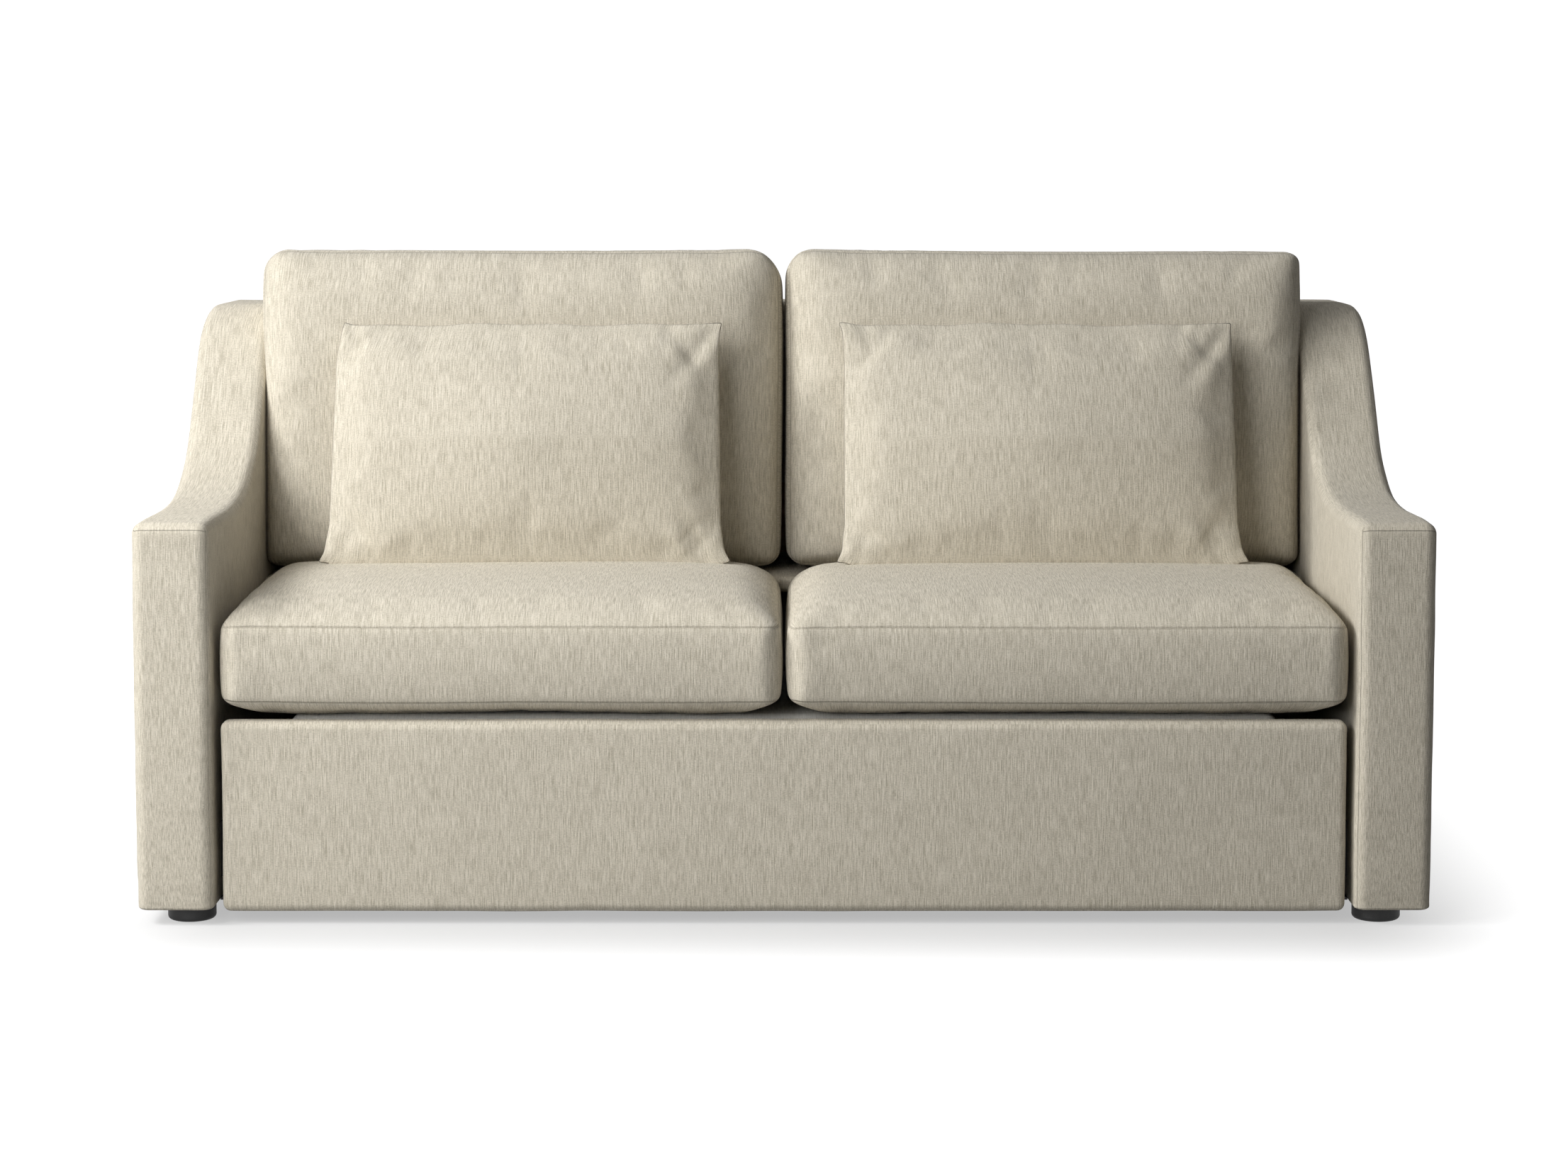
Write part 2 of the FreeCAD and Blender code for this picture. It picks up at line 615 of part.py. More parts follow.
# Mid section, upside down while folded
m_rear = S_Y - END_GAP + TURN_GAP / 2
side = tube_y(in_x, Q_Y - EAR_R, m_rear, Q_Z)
side = side.cut(rod(Q_Y, Q_Z, PIN_HOLE_R, in_x - 1, TUBE_X + 1))
lug = box(TUBE_X, TUBE_X + EAR_T, S_Y - EAR_L, S_Y, Q_Z - HALF_T, S_Z)
lug = lug.fuse(rod(S_Y, S_Z, EAR_R, TUBE_X, TUBE_X + EAR_T))
lug = lug.cut(rod(S_Y, S_Z, PIN_HOLE_R, TUBE_X - 1, TUBE_X + EAR_T + 1))
mid_frame = side.fuse(lug)
leg_y = Q_Y + MID_LEG_BACK


def leg_stub(y, z, x0, lane):
    """Stub from a frame tube through one leg, with a collar and an end head."""
    stub = rod(y, z, LEG_PIN_R, x0, lane + LEG_W + LEG_PIN_END)
    stub = stub.fuse(rod(y, z, LEG_PIN_HEAD_R, x0, lane - RUN_GAP))
    return stub.fuse(rod(y, z, LEG_PIN_HEAD_R, lane + LEG_W + RUN_GAP, lane + LEG_W + LEG_PIN_END))


mid_frame = mid_frame.fuse(leg_stub(leg_y, Q_Z, TUBE_X, MID_LEG_X))
mid_frame = mid_frame.fuse(flip(mid_frame))
cross_ys = (Q_Y + CROSS_IN, m_rear - HALF_T)
for y in cross_ys:
    mid_frame = mid_frame.fuse(tube_x(-in_x, in_x, y, Q_Z))
save("mid_frame", mid_frame)
low_face = Q_Z - HALF_T
y0 = cross_ys[0] + HALF_T
y1 = cross_ys[1] - HALF_T
save("mid_deck", box(-cloth_x, cloth_x, y0, y1, low_face, low_face + DECK_T))
save("mid_deck_springs", make_springs(cloth_x, in_x, y0, y1, low_face + SPRING_R))
slab_y = Q_Y + HALF_T + SLAB_T + TURN_GAP
save("mattress_mid", slab(slab_y, S_Y - PLATE_T, low_face - SLAB_T, low_face, BED_HALF))
save("mid_hinge_pins", both([pin(S_Y, S_Z, FOOT_TUBE_X, TUBE_X + EAR_T, PIN_R, PIN_HEAD_R, PIN_HEAD_T)]))

# Foot section, right side up under the seat cushions
foot_in = FOOT_TUBE_X - TUBE
f_front = S_Y - FOOT_L
side = tube_y(foot_in, f_front, m_rear, FOOT_Z)
lug = box(FOOT_TUBE_X, FOOT_TUBE_X + EAR_T, S_Y - EAR_L, S_Y, FOOT_Z - HALF_T, FOOT_Z + HALF_T)
lug = lug.fuse(rod(S_Y, S_Z, EAR_R, FOOT_TUBE_X, FOOT_TUBE_X + EAR_T))
lug = lug.cut(rod(S_Y, S_Z, PIN_HOLE_R, FOOT_TUBE_X - 1, FOOT_TUBE_X + EAR_T + 1))
foot_frame = side.fuse(lug)
foot_leg_y = f_front + FOOT_LEG_IN
foot_frame = foot_frame.fuse(leg_stub(foot_leg_y, FOOT_Z, FOOT_TUBE_X, FOOT_LEG_X))
foot_frame = foot_frame.fuse(flip(foot_frame))
cross_ys = (f_front + HALF_T, m_rear - HALF_T)
for y in cross_ys:
    foot_frame = foot_frame.fuse(tube_x(-foot_in, foot_in, y, FOOT_Z))
save("foot_frame", foot_frame)
top = FOOT_Z + HALF_T
cloth_x = foot_in - DECK_EDGE
y0 = cross_ys[0] + HALF_T
y1 = cross_ys[1] - HALF_T
save("foot_deck", box(-cloth_x, cloth_x, y0, y1, top - DECK_T, top))
save("foot_deck_springs", make_springs(cloth_x, foot_in, y0, y1, top - SPRING_R))
save("mattress_foot", slab(f_front, S_Y - PLATE_T, top, SLAB_TOP, BED_HALF))
strap = box(-STRAP_HALF, STRAP_HALF, f_front - STRAP_T, f_front, FOOT_Z - HALF_T, top + STRAP_UP)
slot = box(SLAB_EDGE_R - STRAP_HALF, STRAP_HALF - SLAB_EDGE_R, f_front - 2 * STRAP_T, f_front + STRAP_T,
           top + SLAB_EDGE_R, top + STRAP_UP - SLAB_EDGE_R)
save("pull_strap", strap.cut(slot))


def make_leg(y, z, lane):
    """Hollow leg pointing back from its pivot, and the glide plugged in its end."""
    leg = box(lane, lane + LEG_W, y, y + LEG_L, z - LEG_H / 2, z + LEG_H / 2)
    leg = leg.fuse(rod(y, z, LEG_H / 2, lane, lane + LEG_W))
    w = GLIDE_WALL
    hollow = box(lane + w, lane + LEG_W - w, y + LEG_H, y + LEG_L, z - LEG_H / 2 + w, z + LEG_H / 2 - w)
    leg = leg.cut(hollow)
    leg = leg.cut(rod(y, z, LEG_BORE_R, lane - 1, lane + LEG_W + 1))
    end = y + LEG_L
    glide = box(lane, lane + LEG_W, end, end + GLIDE_T, z - LEG_H / 2, z + LEG_H / 2)
    glide = glide.makeFillet(GLIDE_R, plane_edges(glide, "Y", end + GLIDE_T))
    w = w + SEAT_GAP
    plug = box(lane + w, lane + LEG_W - w, end - GLIDE_SINK, end, z - LEG_H / 2 + w, z + LEG_H / 2 - w)
    return leg, glide.fuse(plug)


leg, glide = make_leg(leg_y, Q_Z, MID_LEG_X)
save("mid_legs", both([leg]))
save("mid_leg_glides", both([glide]))
leg, glide = make_leg(foot_leg_y, FOOT_Z, FOOT_LEG_X)
save("foot_legs", both([leg]))
save("foot_leg_glides", both([glide]))

# Seat cushions, one on each half of the foot section
base = SLAB_TOP + SEAT_GAP
layers = crown(SEAT_LOW, base, SIDE_DRAW, SEAT_UNDER_REACH, 0.0, UNDER_STEPS, CROWN_POWER)[::-1]
layers += [(SEAT_LOW, SIDE_DRAW, 0.0), (SEAT_LOW / 2 + SEAT_SEAM / 2, 0.0, 0.0), (SEAT_SEAM, SIDE_DRAW, 0.0)]
layers += crown(SEAT_SEAM, SEAT_CROWN, SIDE_DRAW, CROWN_REACH, CROWN_GROW, CROWN_STEPS, CROWN_POWER)
seat = cushion(SEAT_MID_GAP, SEAT_HALF, SEAT_FRONT, SEAT_REAR, SEAT_R, layers)
save("seat_cushion_right", seat)
save("seat_cushion_left", flip(seat))

# Back cushions, leaning on the back rest and standing on the ledge
layers = crown(BACK_SEAM, 0.0, SIDE_DRAW, BACK_REAR_REACH, 0.0, UNDER_STEPS, CROWN_POWER)[::-1]
layers += [(BACK_SEAM, SIDE_DRAW, 0.0), (BACK_T / 2, 0.0, 0.0), (BACK_T - BACK_SEAM, SIDE_DRAW, 0.0)]
layers += crown(BACK_T - BACK_SEAM, BACK_T, SIDE_DRAW, CROWN_REACH, CROWN_GROW, CROWN_STEPS, CROWN_POWER)
rest = cushion(SEAT_MID_GAP, BACK_W, 0.0, BACK_H, BACK_R, layers)
rest.rotate(V(0, 0, 0), V(1, 0, 0), 90 - BACK_TILT)
ledge_top = LEDGE_Z + LEDGE_T
rest.translate(V(0, 0, ledge_top + SEAT_GAP - rest.BoundBox.ZMin))
slope = math.tan(math.radians(BACK_TILT))
rest.translate(V(0, BACK_FOOT_Y + slope * LEDGE_T, 0))


def close_y(shape, other, gap, sign):
    """Move shape along Y until it stands gap away from other."""
    for _ in range(CLOSE_STEPS):
        shape.translate(V(0, sign * (shape.distToShape(other)[0] - gap), 0))


rest.translate(V(0, -CLOSE_START, 0))
close_y(rest, back, SEAT_GAP, 1)
save("back_cushion_right", rest)
save("back_cushion_left", flip(rest))

# Lumbar pillows, knife edged, standing on the seats and leaning on the back cushions
half_t = PILLOW_T / 2
layers = crown(0.0, -half_t, 0.0, PILLOW_REACH, PILLOW_GROW, CROWN_STEPS, CROWN_POWER)[::-1]
layers += [(0.0, 0.0, 0.0)]
layers += crown(0.0, half_t, 0.0, PILLOW_REACH, PILLOW_GROW, CROWN_STEPS, CROWN_POWER)
x0 = PILLOW_X - PILLOW_W / 2
pillow = cushion(x0, x0 + PILLOW_W, 0.0, PILLOW_H, PILLOW_R, layers)
pillow.rotate(V(0, 0, 0), V(1, 0, 0), 90 - PILLOW_TILT)
pillow.translate(V(0, 0, SEAT_CROWN + SEAT_GAP - pillow.BoundBox.ZMin))
pillow.translate(V(0, -PILLOW_START, 0))
close_y(pillow, rest, SEAT_GAP, 1)
save("lumbar_pillow_right", pillow)
save("lumbar_pillow_left", flip(pillow))
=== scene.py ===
import math
from dataclasses import dataclass

import bpy
from mathutils import Matrix, Vector, noise


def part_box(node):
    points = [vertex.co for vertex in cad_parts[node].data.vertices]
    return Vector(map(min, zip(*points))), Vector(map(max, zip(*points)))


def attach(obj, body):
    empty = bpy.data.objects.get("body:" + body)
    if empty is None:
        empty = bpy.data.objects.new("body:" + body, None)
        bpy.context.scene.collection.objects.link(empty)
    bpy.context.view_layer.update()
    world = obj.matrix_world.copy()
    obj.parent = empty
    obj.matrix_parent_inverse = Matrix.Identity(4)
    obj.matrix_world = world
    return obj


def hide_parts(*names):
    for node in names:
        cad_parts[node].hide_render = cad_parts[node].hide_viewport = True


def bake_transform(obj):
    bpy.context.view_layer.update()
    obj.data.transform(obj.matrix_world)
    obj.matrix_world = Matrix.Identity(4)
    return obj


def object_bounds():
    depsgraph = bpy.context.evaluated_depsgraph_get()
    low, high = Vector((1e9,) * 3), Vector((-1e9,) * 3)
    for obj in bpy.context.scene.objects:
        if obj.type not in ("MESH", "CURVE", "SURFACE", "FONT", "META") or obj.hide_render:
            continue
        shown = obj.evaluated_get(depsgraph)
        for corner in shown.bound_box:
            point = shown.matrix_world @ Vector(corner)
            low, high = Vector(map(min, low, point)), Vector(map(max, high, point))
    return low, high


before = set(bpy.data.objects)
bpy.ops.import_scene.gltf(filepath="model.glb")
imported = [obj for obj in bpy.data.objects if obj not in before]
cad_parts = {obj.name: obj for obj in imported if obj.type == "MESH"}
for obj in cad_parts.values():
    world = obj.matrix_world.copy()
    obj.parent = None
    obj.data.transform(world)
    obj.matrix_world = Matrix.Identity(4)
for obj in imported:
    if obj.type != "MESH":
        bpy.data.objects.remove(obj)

bl_info = {
    "name": "Sleeper sofa",
    "version": (1, 0, 0),
    "blender": (4, 5, 0),
    "location": "View3D > Sidebar > Sofa",
    "description": "Linen upholstery, cushions and folding bed of a sleeper sofa",
    "category": "Object",
}

CAD_BOX = [list(corner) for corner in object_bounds()]
PHOTO_W = 2212
PHOTO_H = 1659
SENSOR = 36.0
RING = ((0, 0), (1, 0), (1, 1), (0, 1))
NOISE_SEED = 1
SIDES = (("left", -1), ("right", 1))


# Sizes and colours that a user would change


class SofaFabric(bpy.types.PropertyGroup):
    light: bpy.props.FloatVectorProperty(
        name="Light yarn", description="Colour of the pale linen yarn", subtype="COLOR",
        size=4, default=(0.72, 0.665, 0.555, 1.0))
    dark: bpy.props.FloatVectorProperty(
        name="Dark yarn", description="Colour of the shaded yarn between the slubs", subtype="COLOR",
        size=4, default=(0.43, 0.39, 0.305, 1.0))
    # This colour is also the painted shade along the seams.
    fleck_and_seam_shade: bpy.props.FloatVectorProperty(
        name="Fleck", description="Colour of the few dark flecks in the yarn", subtype="COLOR",
        size=4, default=(0.24, 0.21, 0.15, 1.0))
    thread: bpy.props.FloatProperty(
        name="Thread width", description="Width of one visible yarn", unit="LENGTH", default=0.00085)
    relief: bpy.props.FloatProperty(
        name="Relief", description="Height of the yarns", unit="LENGTH", default=0.0009)


class SofaShape(bpy.types.PropertyGroup):
    arm_radius: bpy.props.FloatProperty(
        name="Arm edge", description="Radius of the padded edges of the arms", unit="LENGTH", default=0.017)
    arm_swell: bpy.props.FloatProperty(
        name="Arm padding", description="How far the arm faces swell", unit="LENGTH", default=0.003)
    panel_radius: bpy.props.FloatProperty(
        name="Panel edge", description="Radius of the front panel's edges", unit="LENGTH", default=0.012)
    hem: bpy.props.FloatProperty(
        name="Hem", description="How far the padded hems hang below the frames", unit="LENGTH", default=0.005)
    step: bpy.props.FloatProperty(
        name="Mesh step", description="Size of the faces of the padded pieces", unit="LENGTH", default=0.014)
    cushion_step: bpy.props.FloatProperty(
        name="Cushion step", description="Size of the faces of the cushion covers", unit="LENGTH",
        default=0.011)
    seat_dome: bpy.props.FloatProperty(
        name="Seat crown", description="Height of the seat crown over its seam", unit="LENGTH", default=0.047)
    cap: bpy.props.FloatProperty(
        name="Fill swell", description="How far the filling may push the covers out", unit="LENGTH",
        default=0.024)
    pressure: bpy.props.FloatProperty(name="Fill pressure", description="Pressure of the filling", default=4.0)
    frames: bpy.props.IntProperty(name="Settling steps", description="Cloth steps for each cover", default=18)


class SofaStage(bpy.types.PropertyGroup):
    distance: bpy.props.FloatProperty(
        name="Camera distance", description="From the front of the arms to the camera", unit="LENGTH",
        default=5.1)
    height: bpy.props.FloatProperty(
        name="Camera height", description="Height of the camera", unit="LENGTH", default=1.206)
    focal: bpy.props.FloatProperty(
        name="Focal length", description="Lens, on a 36 mm wide sensor", default=77.9)
    shift: bpy.props.FloatProperty(name="Lens shift", description="Vertical shift of the lens", default=-0.09)
    horizon: bpy.props.FloatProperty(
        name="Horizon row", description="Row of the horizon in the full picture", default=189.5)
    key: bpy.props.FloatProperty(name="Key light", description="Power of the large left lamp", default=171.0)
    front: bpy.props.FloatProperty(
        name="Front light", description="Power of the lamp at the front left", default=58.0)
    low: bpy.props.FloatProperty(name="Low light", description="Power of the low front lamp", default=56.0)
    world: bpy.props.FloatProperty(name="Room light", description="Strength of the pale room", default=0.21)


# Mesh helpers


def limited(value, low=0.0, high=1.0):
    """The value, kept between low and high."""
    return min(max(value, low), high)


def extent(points):
    """Lowest and highest corner of a list of points."""
    return tuple(Vector([pick(p[a] for p in points) for a in range(3)]) for pick in (min, max))


def new_object(name, verts, faces, uvs=None, marks=None, smooth=True):
    """Mesh object with an optional weave map (one pair per corner) and seam marks (one per vertex)."""
    mesh = bpy.data.meshes.new(name)
    mesh.from_pydata(verts, [], faces)
    if uvs:
        layer = mesh.uv_layers.new(name="weave")
        for loop, uv in zip(layer.data, uvs):
            loop.uv = uv
    if marks:
        seam = mesh.attributes.new("seam", "FLOAT", "POINT")
        for item, value in zip(seam.data, marks):
            item.value = value
    for poly in mesh.polygons:
        poly.use_smooth = smooth
    obj = bpy.data.objects.new(name, mesh)
    bpy.context.scene.collection.objects.link(obj)
    return obj


def finish_piece(obj, body, nodes, material):
    """Gives a piece its material, its body and the solids it stands for."""
    obj.data.materials.clear()
    obj.data.materials.append(material)
    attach(obj, body)
    if nodes:
        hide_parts(*nodes)
    return obj


def dress(obj, body, node):
    """Finishes a linen piece that stands for one solid."""
    return finish_piece(obj, body, [node], linen())


def apply_modifiers(obj):
    """Replaces the mesh by its evaluated form, with no modifier left."""
    graph = bpy.context.evaluated_depsgraph_get()
    mesh = bpy.data.meshes.new_from_object(obj.evaluated_get(graph))
    old = obj.data
    obj.modifiers.clear()
    obj.data = mesh
    bpy.data.meshes.remove(old)
    return obj


def lattice_lines(lo, hi, radius, step):
    """Grid lines from lo to hi, close together in the rounded ends."""
    ends = [radius * t for t in (0.0, 0.15, 0.35, 0.6, 0.85, 1.0, 1.25)]
    inner_lo = lo + ends[-1]
    inner_hi = hi - ends[-1]
    count = max(1, round((inner_hi - inner_lo) / step))
    lines = [lo + e for e in ends]
    lines += [inner_lo + (inner_hi - inner_lo) * i / count for i in range(1, count)]
    lines += [hi - e for e in reversed(ends)]
    return lines


def fade(value, power=4.0):
    """1 in the middle of -1..1 and 0 at its ends."""
    return 1.0 - abs(value) ** power


def soft_block(name, lo, hi, radius, step, swell=(0.0, 0.0, 0.0), warp=None, mark=None, ripple=0.0):
    """Upholstered block with round edges and swelling faces, as a grid over its six faces."""
    lines = [lattice_lines(lo[a], hi[a], radius, step) for a in range(3)]
    last = [len(line) - 1 for line in lines]
    mid = [(lo[a] + hi[a]) / 2 for a in range(3)]
    half = [(hi[a] - lo[a]) / 2 for a in range(3)]
    index = {}
    verts = []
    raw = []
    marks = []

    def vert(key):
        if key in index:
            return index[key]
        flat = [lines[a][key[a]] for a in range(3)]
        core = [limited(flat[a], lo[a] + radius, hi[a] - radius) for a in range(3)]
        off = Vector([flat[a] - core[a] for a in range(3)])
        point = Vector(core) + off.normalized() * radius if off.length > 0 else Vector(core)
        share = [(flat[a] - mid[a]) / half[a] for a in range(3)]
        for a in range(3):
            if key[a] in (0, last[a]):
                others = [b for b in range(3) if b != a]
                grow = swell[a] * fade(share[others[0]]) * fade(share[others[1]])
                point[a] += grow if key[a] else -grow
        if ripple:
            soft = noise.noise_vector(point * 5.0) + 0.5 * noise.noise_vector(point * 13.0)
            point += soft * ripple
        marks.append(mark(flat) if mark else 0.0)
        raw.append(flat)
        index[key] = len(verts)
        verts.append(warp(point) if warp else point)
        return index[key]

    faces = []
    uvs = []
    for a in range(3):
        b, c = [(1, 2), (0, 2), (0, 1)][a]
        for end in (0, last[a]):
            turn = (end == 0) != (a == 1)
            for i in range(last[b]):
                for j in range(last[c]):
                    ring = []
                    for di, dj in RING:
                        key = [0, 0, 0]
                        key[a] = end
                        key[b] = i + di
                        key[c] = j + dj
                        ring.append(vert(tuple(key)))
                    if turn:
                        ring.reverse()
                    faces.append(ring)
                    for v in ring:
                        uvs.append((raw[v][b] + 3.1 * a, raw[v][c] + (1.7 if end else 0.0)))
    return new_object(name, verts, faces, uvs, marks)


# Cushion covers


def round_corner(x, y, half_x, half_y, radii):
    """Moves a grid point of a rectangle into its round corner.

    The radii are those of the low left, low right, top left and top right corner."""
    radius = radii[(x > 0) + 2 * (y > 0)]
    over_x = abs(x) - (half_x - radius)
    over_y = abs(y) - (half_y - radius)
    if over_x <= 0 or over_y <= 0:
        return x, y
    s = over_x / radius
    t = over_y / radius
    new_x = half_x - radius + radius * s * math.sqrt(1 - t * t / 2)
    new_y = half_y - radius + radius * t * math.sqrt(1 - s * s / 2)
    return math.copysign(new_x, x), math.copysign(new_y, y)


def rise(t, half, shoulder):
    """Share of a crown's height at t in -1..1: it rises within a shoulder from the edge and then rests."""
    reach = max(shoulder / half, 0.02)
    power = -1.234 / math.log(1 - reach) if reach < 0.95 else 1.3
    return max(1 - abs(t) ** power, 0.0) ** 0.55


@dataclass
class Cover:
    """Size and sewing of one cushion cover in its own frame: width, height, and thickness from the back."""
    half_x: float
    half_y: float
    radii: tuple  # corners, as in round_corner
    seams: tuple  # heights of the back and the front seam
    crowns: tuple  # heights of the two panels over their seams
    step: float  # size of the faces
    waist: float  # how far the sides are drawn in
    shoulders: tuple  # width of the rounding at the left, right, foot and head
    dome: float  # slow rise of the front panel to its middle

    def outline(self, u, v, bulge=0.0):
        """Point of the outline grid at u, v in -1..1, with its sides drawn in between the corners."""
        x, y = round_corner(u * self.half_x, v * self.half_y, self.half_x, self.half_y, self.radii)
        x -= self.waist * u * fade(v, 2.0)
        y -= self.waist * v * fade(u, 2.0)
        return x + bulge * u * fade(v, 6.0), y + bulge * v * fade(u, 6.0)

    def crown(self, side, u, v):
        """Height of a panel over its seam."""
        tight = 1.0 if side else 0.4
        across = rise(u, self.half_x, self.shoulders[1 if u > 0 else 0] * tight)
        along = rise(v, self.half_y, self.shoulders[3 if v > 0 else 2] * tight)
        dome = self.dome * side * fade(u, 3.0) * fade(v, 2.0)
        return self.crowns[side] * across * along + dome

    def mesh(self, name):
        """Two grid panels, and the band between them if the seams are apart."""
        nu = round(2 * self.half_x / self.step)
        nv = round(2 * self.half_y / self.step)
        depth = self.seams[1] - self.seams[0]
        rows = round(depth / self.step) if depth > 0 else 0
        verts = []
        marks = []
        flat = []
        grid = {}
        for side in (0, 1):
            for i in range(nu + 1):
                for j in range(nv + 1):
                    u = 2 * i / nu - 1
                    v = 2 * j / nv - 1
                    edge = i in (0, nu) or j in (0, nv)
                    if side and edge and rows == 0:
                        grid[side, i, j] = grid[0, i, j]
                        continue
                    x, y = self.outline(u, v)
                    grid[side, i, j] = len(verts)
                    verts.append(Vector((x, y, self.seams[side] + self.crown(side, u, v))))
                    flat.append((u * self.half_x, v * self.half_y))
                    marks.append(1.0 if edge else 0.0)
        faces = []
        uvs = []
        for side in (0, 1):
            for i in range(nu):
                for j in range(nv):
                    ring = [grid[side, i + di, j + dj] for di, dj in RING]
                    if side == 0:
                        ring.reverse()
                    faces.append(ring)
                    uvs += [(flat[k][0] + 2.3 * side, flat[k][1]) for k in ring]
        if rows:
            self.band(nu, nv, rows, grid, verts, marks, faces, uvs)
        return new_object(name, verts, faces, uvs, marks)

    def band(self, nu, nv, rows, grid, verts, marks, faces, uvs):
        """Boxing strip between the two panels."""
        walk = [(i, 0) for i in range(nu)] + [(nu, j) for j in range(nv)]
        walk += [(i, nv) for i in range(nu, 0, -1)] + [(0, j) for j in range(nv, 0, -1)]
        loops = [[grid[0, i, j] for i, j in walk]]
        swell = 0.005
        for row in range(1, rows):
            share = row / rows
            bulge = swell * 4 * share * (1 - share)
            line = []
            for i, j in walk:
                x, y = self.outline(2 * i / nu - 1, 2 * j / nv - 1, bulge)
                line.append(len(verts))
                verts.append(Vector((x, y, self.seams[0] + share * (self.seams[1] - self.seams[0]))))
                marks.append(0.0)
            loops.append(line)
        loops.append([grid[1, i, j] for i, j in walk])
        run = [0.0]
        for k in range(len(walk)):
            a = verts[loops[0][k]]
            b = verts[loops[0][(k + 1) % len(walk)]]
            run.append(run[-1] + (b - a).length)
        for row in range(rows):
            z0 = verts[loops[row][0]].z
            z1 = verts[loops[row + 1][0]].z
            for k in range(len(walk)):
                n = (k + 1) % len(walk)
                faces.append([loops[row][k], loops[row][n], loops[row + 1][n], loops[row + 1][k]])
                uvs += [(run[k], z0), (run[k + 1], z0), (run[k + 1], z1), (run[k], z1)]


CLOTH = {"quality": 4, "mass": 0.25, "tension_stiffness": 18, "compression_stiffness": 12,
         "shear_stiffness": 6, "bending_stiffness": 0.6, "use_pressure": True}


def settle(obj, cap, pressure, frames, slack=0.012, pucker=0.03):
    """Fills the cover: cloth under pressure for a few frames, with each point's travel capped."""
    start = [v.co.copy() for v in obj.data.vertices]
    cloth = obj.modifiers.new("fill", "CLOTH")
    settings = cloth.settings
    for key, value in CLOTH.items():
        setattr(settings, key, value)
    settings.uniform_pressure_force = pressure
    seam = obj.data.attributes["seam"].data
    sewn = obj.vertex_groups.new(name="sewn")
    sewn.add([i for i, mark in enumerate(seam) if mark.value > 0.5], 1.0, "REPLACE")
    settings.vertex_group_shrink = "sewn"
    settings.shrink_min = -slack
    settings.shrink_max = pucker
    settings.effector_weights.gravity = 0.0
    cloth.collision_settings.use_collision = False
    cloth.point_cache.frame_start = 1
    cloth.point_cache.frame_end = frames
    for number in range(1, frames + 1):
        bpy.context.scene.frame_set(number)
    apply_modifiers(obj)
    bpy.context.scene.frame_set(1)
    obj.vertex_groups.clear()
    for vertex, origin in zip(obj.data.vertices, start):
        move = vertex.co - origin
        if move.length > cap:
            vertex.co = origin + move.normalized() * cap
    return obj


def fit(obj, lo, hi):
    """Scales the cover so that it fills a box from lo to hi."""
    points = [v.co for v in obj.data.vertices]
    low, high = extent(points)
    for point in points:
        for a in range(3):
            point[a] = lo[a] + (point[a] - low[a]) * (hi[a] - lo[a]) / (high[a] - low[a])
    return obj


def crease(obj, depth, lo, hi, give=0.12):
    """Pulls the seams in, keeps the cover inside the box from lo to hi and smooths it once."""
    mesh = obj.data
    seam = mesh.attributes["seam"].data
    normals = [v.normal.copy() for v in mesh.vertices]
    for vertex, mark, normal in zip(mesh.vertices, seam, normals):
        if mark.value > 0.5:
            vertex.co -= normal * depth
        for a in range(3):
            over = vertex.co[a] - hi[a]
            under = lo[a] - vertex.co[a]
            if over > 0:
                vertex.co[a] = hi[a] + give * over
            if under > 0:
                vertex.co[a] = lo[a] - give * under
    smooth = obj.modifiers.new("smooth", "SUBSURF")
    smooth.levels = 1
    smooth.render_levels = 1
    apply_modifiers(obj)
    for poly in obj.data.polygons:
        poly.use_smooth = True
    return obj


def leaning(node, tilt):
    """(matrix to the row frame, lowest corner, highest corner) of a node in its own tilted frame."""
    turn = Matrix.Rotation(math.radians(90 - tilt), 4, "X")
    back = turn.inverted()
    return (turn, *extent([back @ v.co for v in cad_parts[node].data.vertices]))


def place(obj, matrix):
    obj.data.transform(matrix)
    obj.data.update()
    return obj


def wander(obj, amount, scale, seed):
    """Uneven filling: slow noise on the points."""
    shift = Vector((seed * 3.7, seed * 1.3, seed * 5.1))
    for vertex in obj.data.vertices:
        vertex.co += noise.noise_vector(vertex.co * scale + shift) * amount
    return obj


def sew(cover, name, centre, amount, scale, seed):
    """The cover's mesh over its solid, unevenly filled."""
    obj = cover.mesh(name)
    obj.data.transform(Matrix.Translation((centre.x, centre.y, 0.0)))
    return wander(obj, amount, scale, seed)


# Half outlines of the pillows: (height, width) pairs from foot to head, as shares of the solid's half sizes
PILLOW_SIDES = {
    "left": (
        ((-1.0, -1.0), (-0.88, -0.972), (-0.65, -0.955), (0.65, -0.942), (0.90, -0.918), (1.0, -0.894)),
        ((-1.0, 1.0), (-0.88, 0.968), (-0.65, 0.949), (0.65, 0.937), (0.90, 0.940), (1.0, 0.947))),
    "right": (
        ((-1.0, -1.0), (-0.88, -0.974), (-0.65, -0.962), (0.65, -0.960), (0.90, -0.970), (1.0, -0.985)),
        ((-1.0, 1.0), (-0.88, 0.970), (-0.65, 0.950), (0.65, 0.944), (0.90, 0.940), (1.0, 0.939)))}
PILLOW_WIDER = 1.05
PILLOW_FOOT = -1.03
PILLOW_HEAD = 0.985
PILLOW_ROWS = 12

# Folds of a pillow: which end in x and y, start from there, direction, length, depth and width
PILLOW_FOLDS = (
    (1, 1, (-0.010, -0.006), (-0.58, -0.81), 0.15, 0.006, 0.013),
    (1, 1, (-0.09, -0.004), (-0.25, -0.97), 0.07, 0.003, 0.011),
    (0, 1, (0.03, -0.004), (0.35, -0.94), 0.06, 0.004, 0.010),
    (0, 0, (0.02, 0.008), (0.45, 0.89), 0.08, 0.003, 0.012),
    (1, 0, (-0.03, 0.008), (-0.5, 0.86), 0.10, 0.004, 0.012))


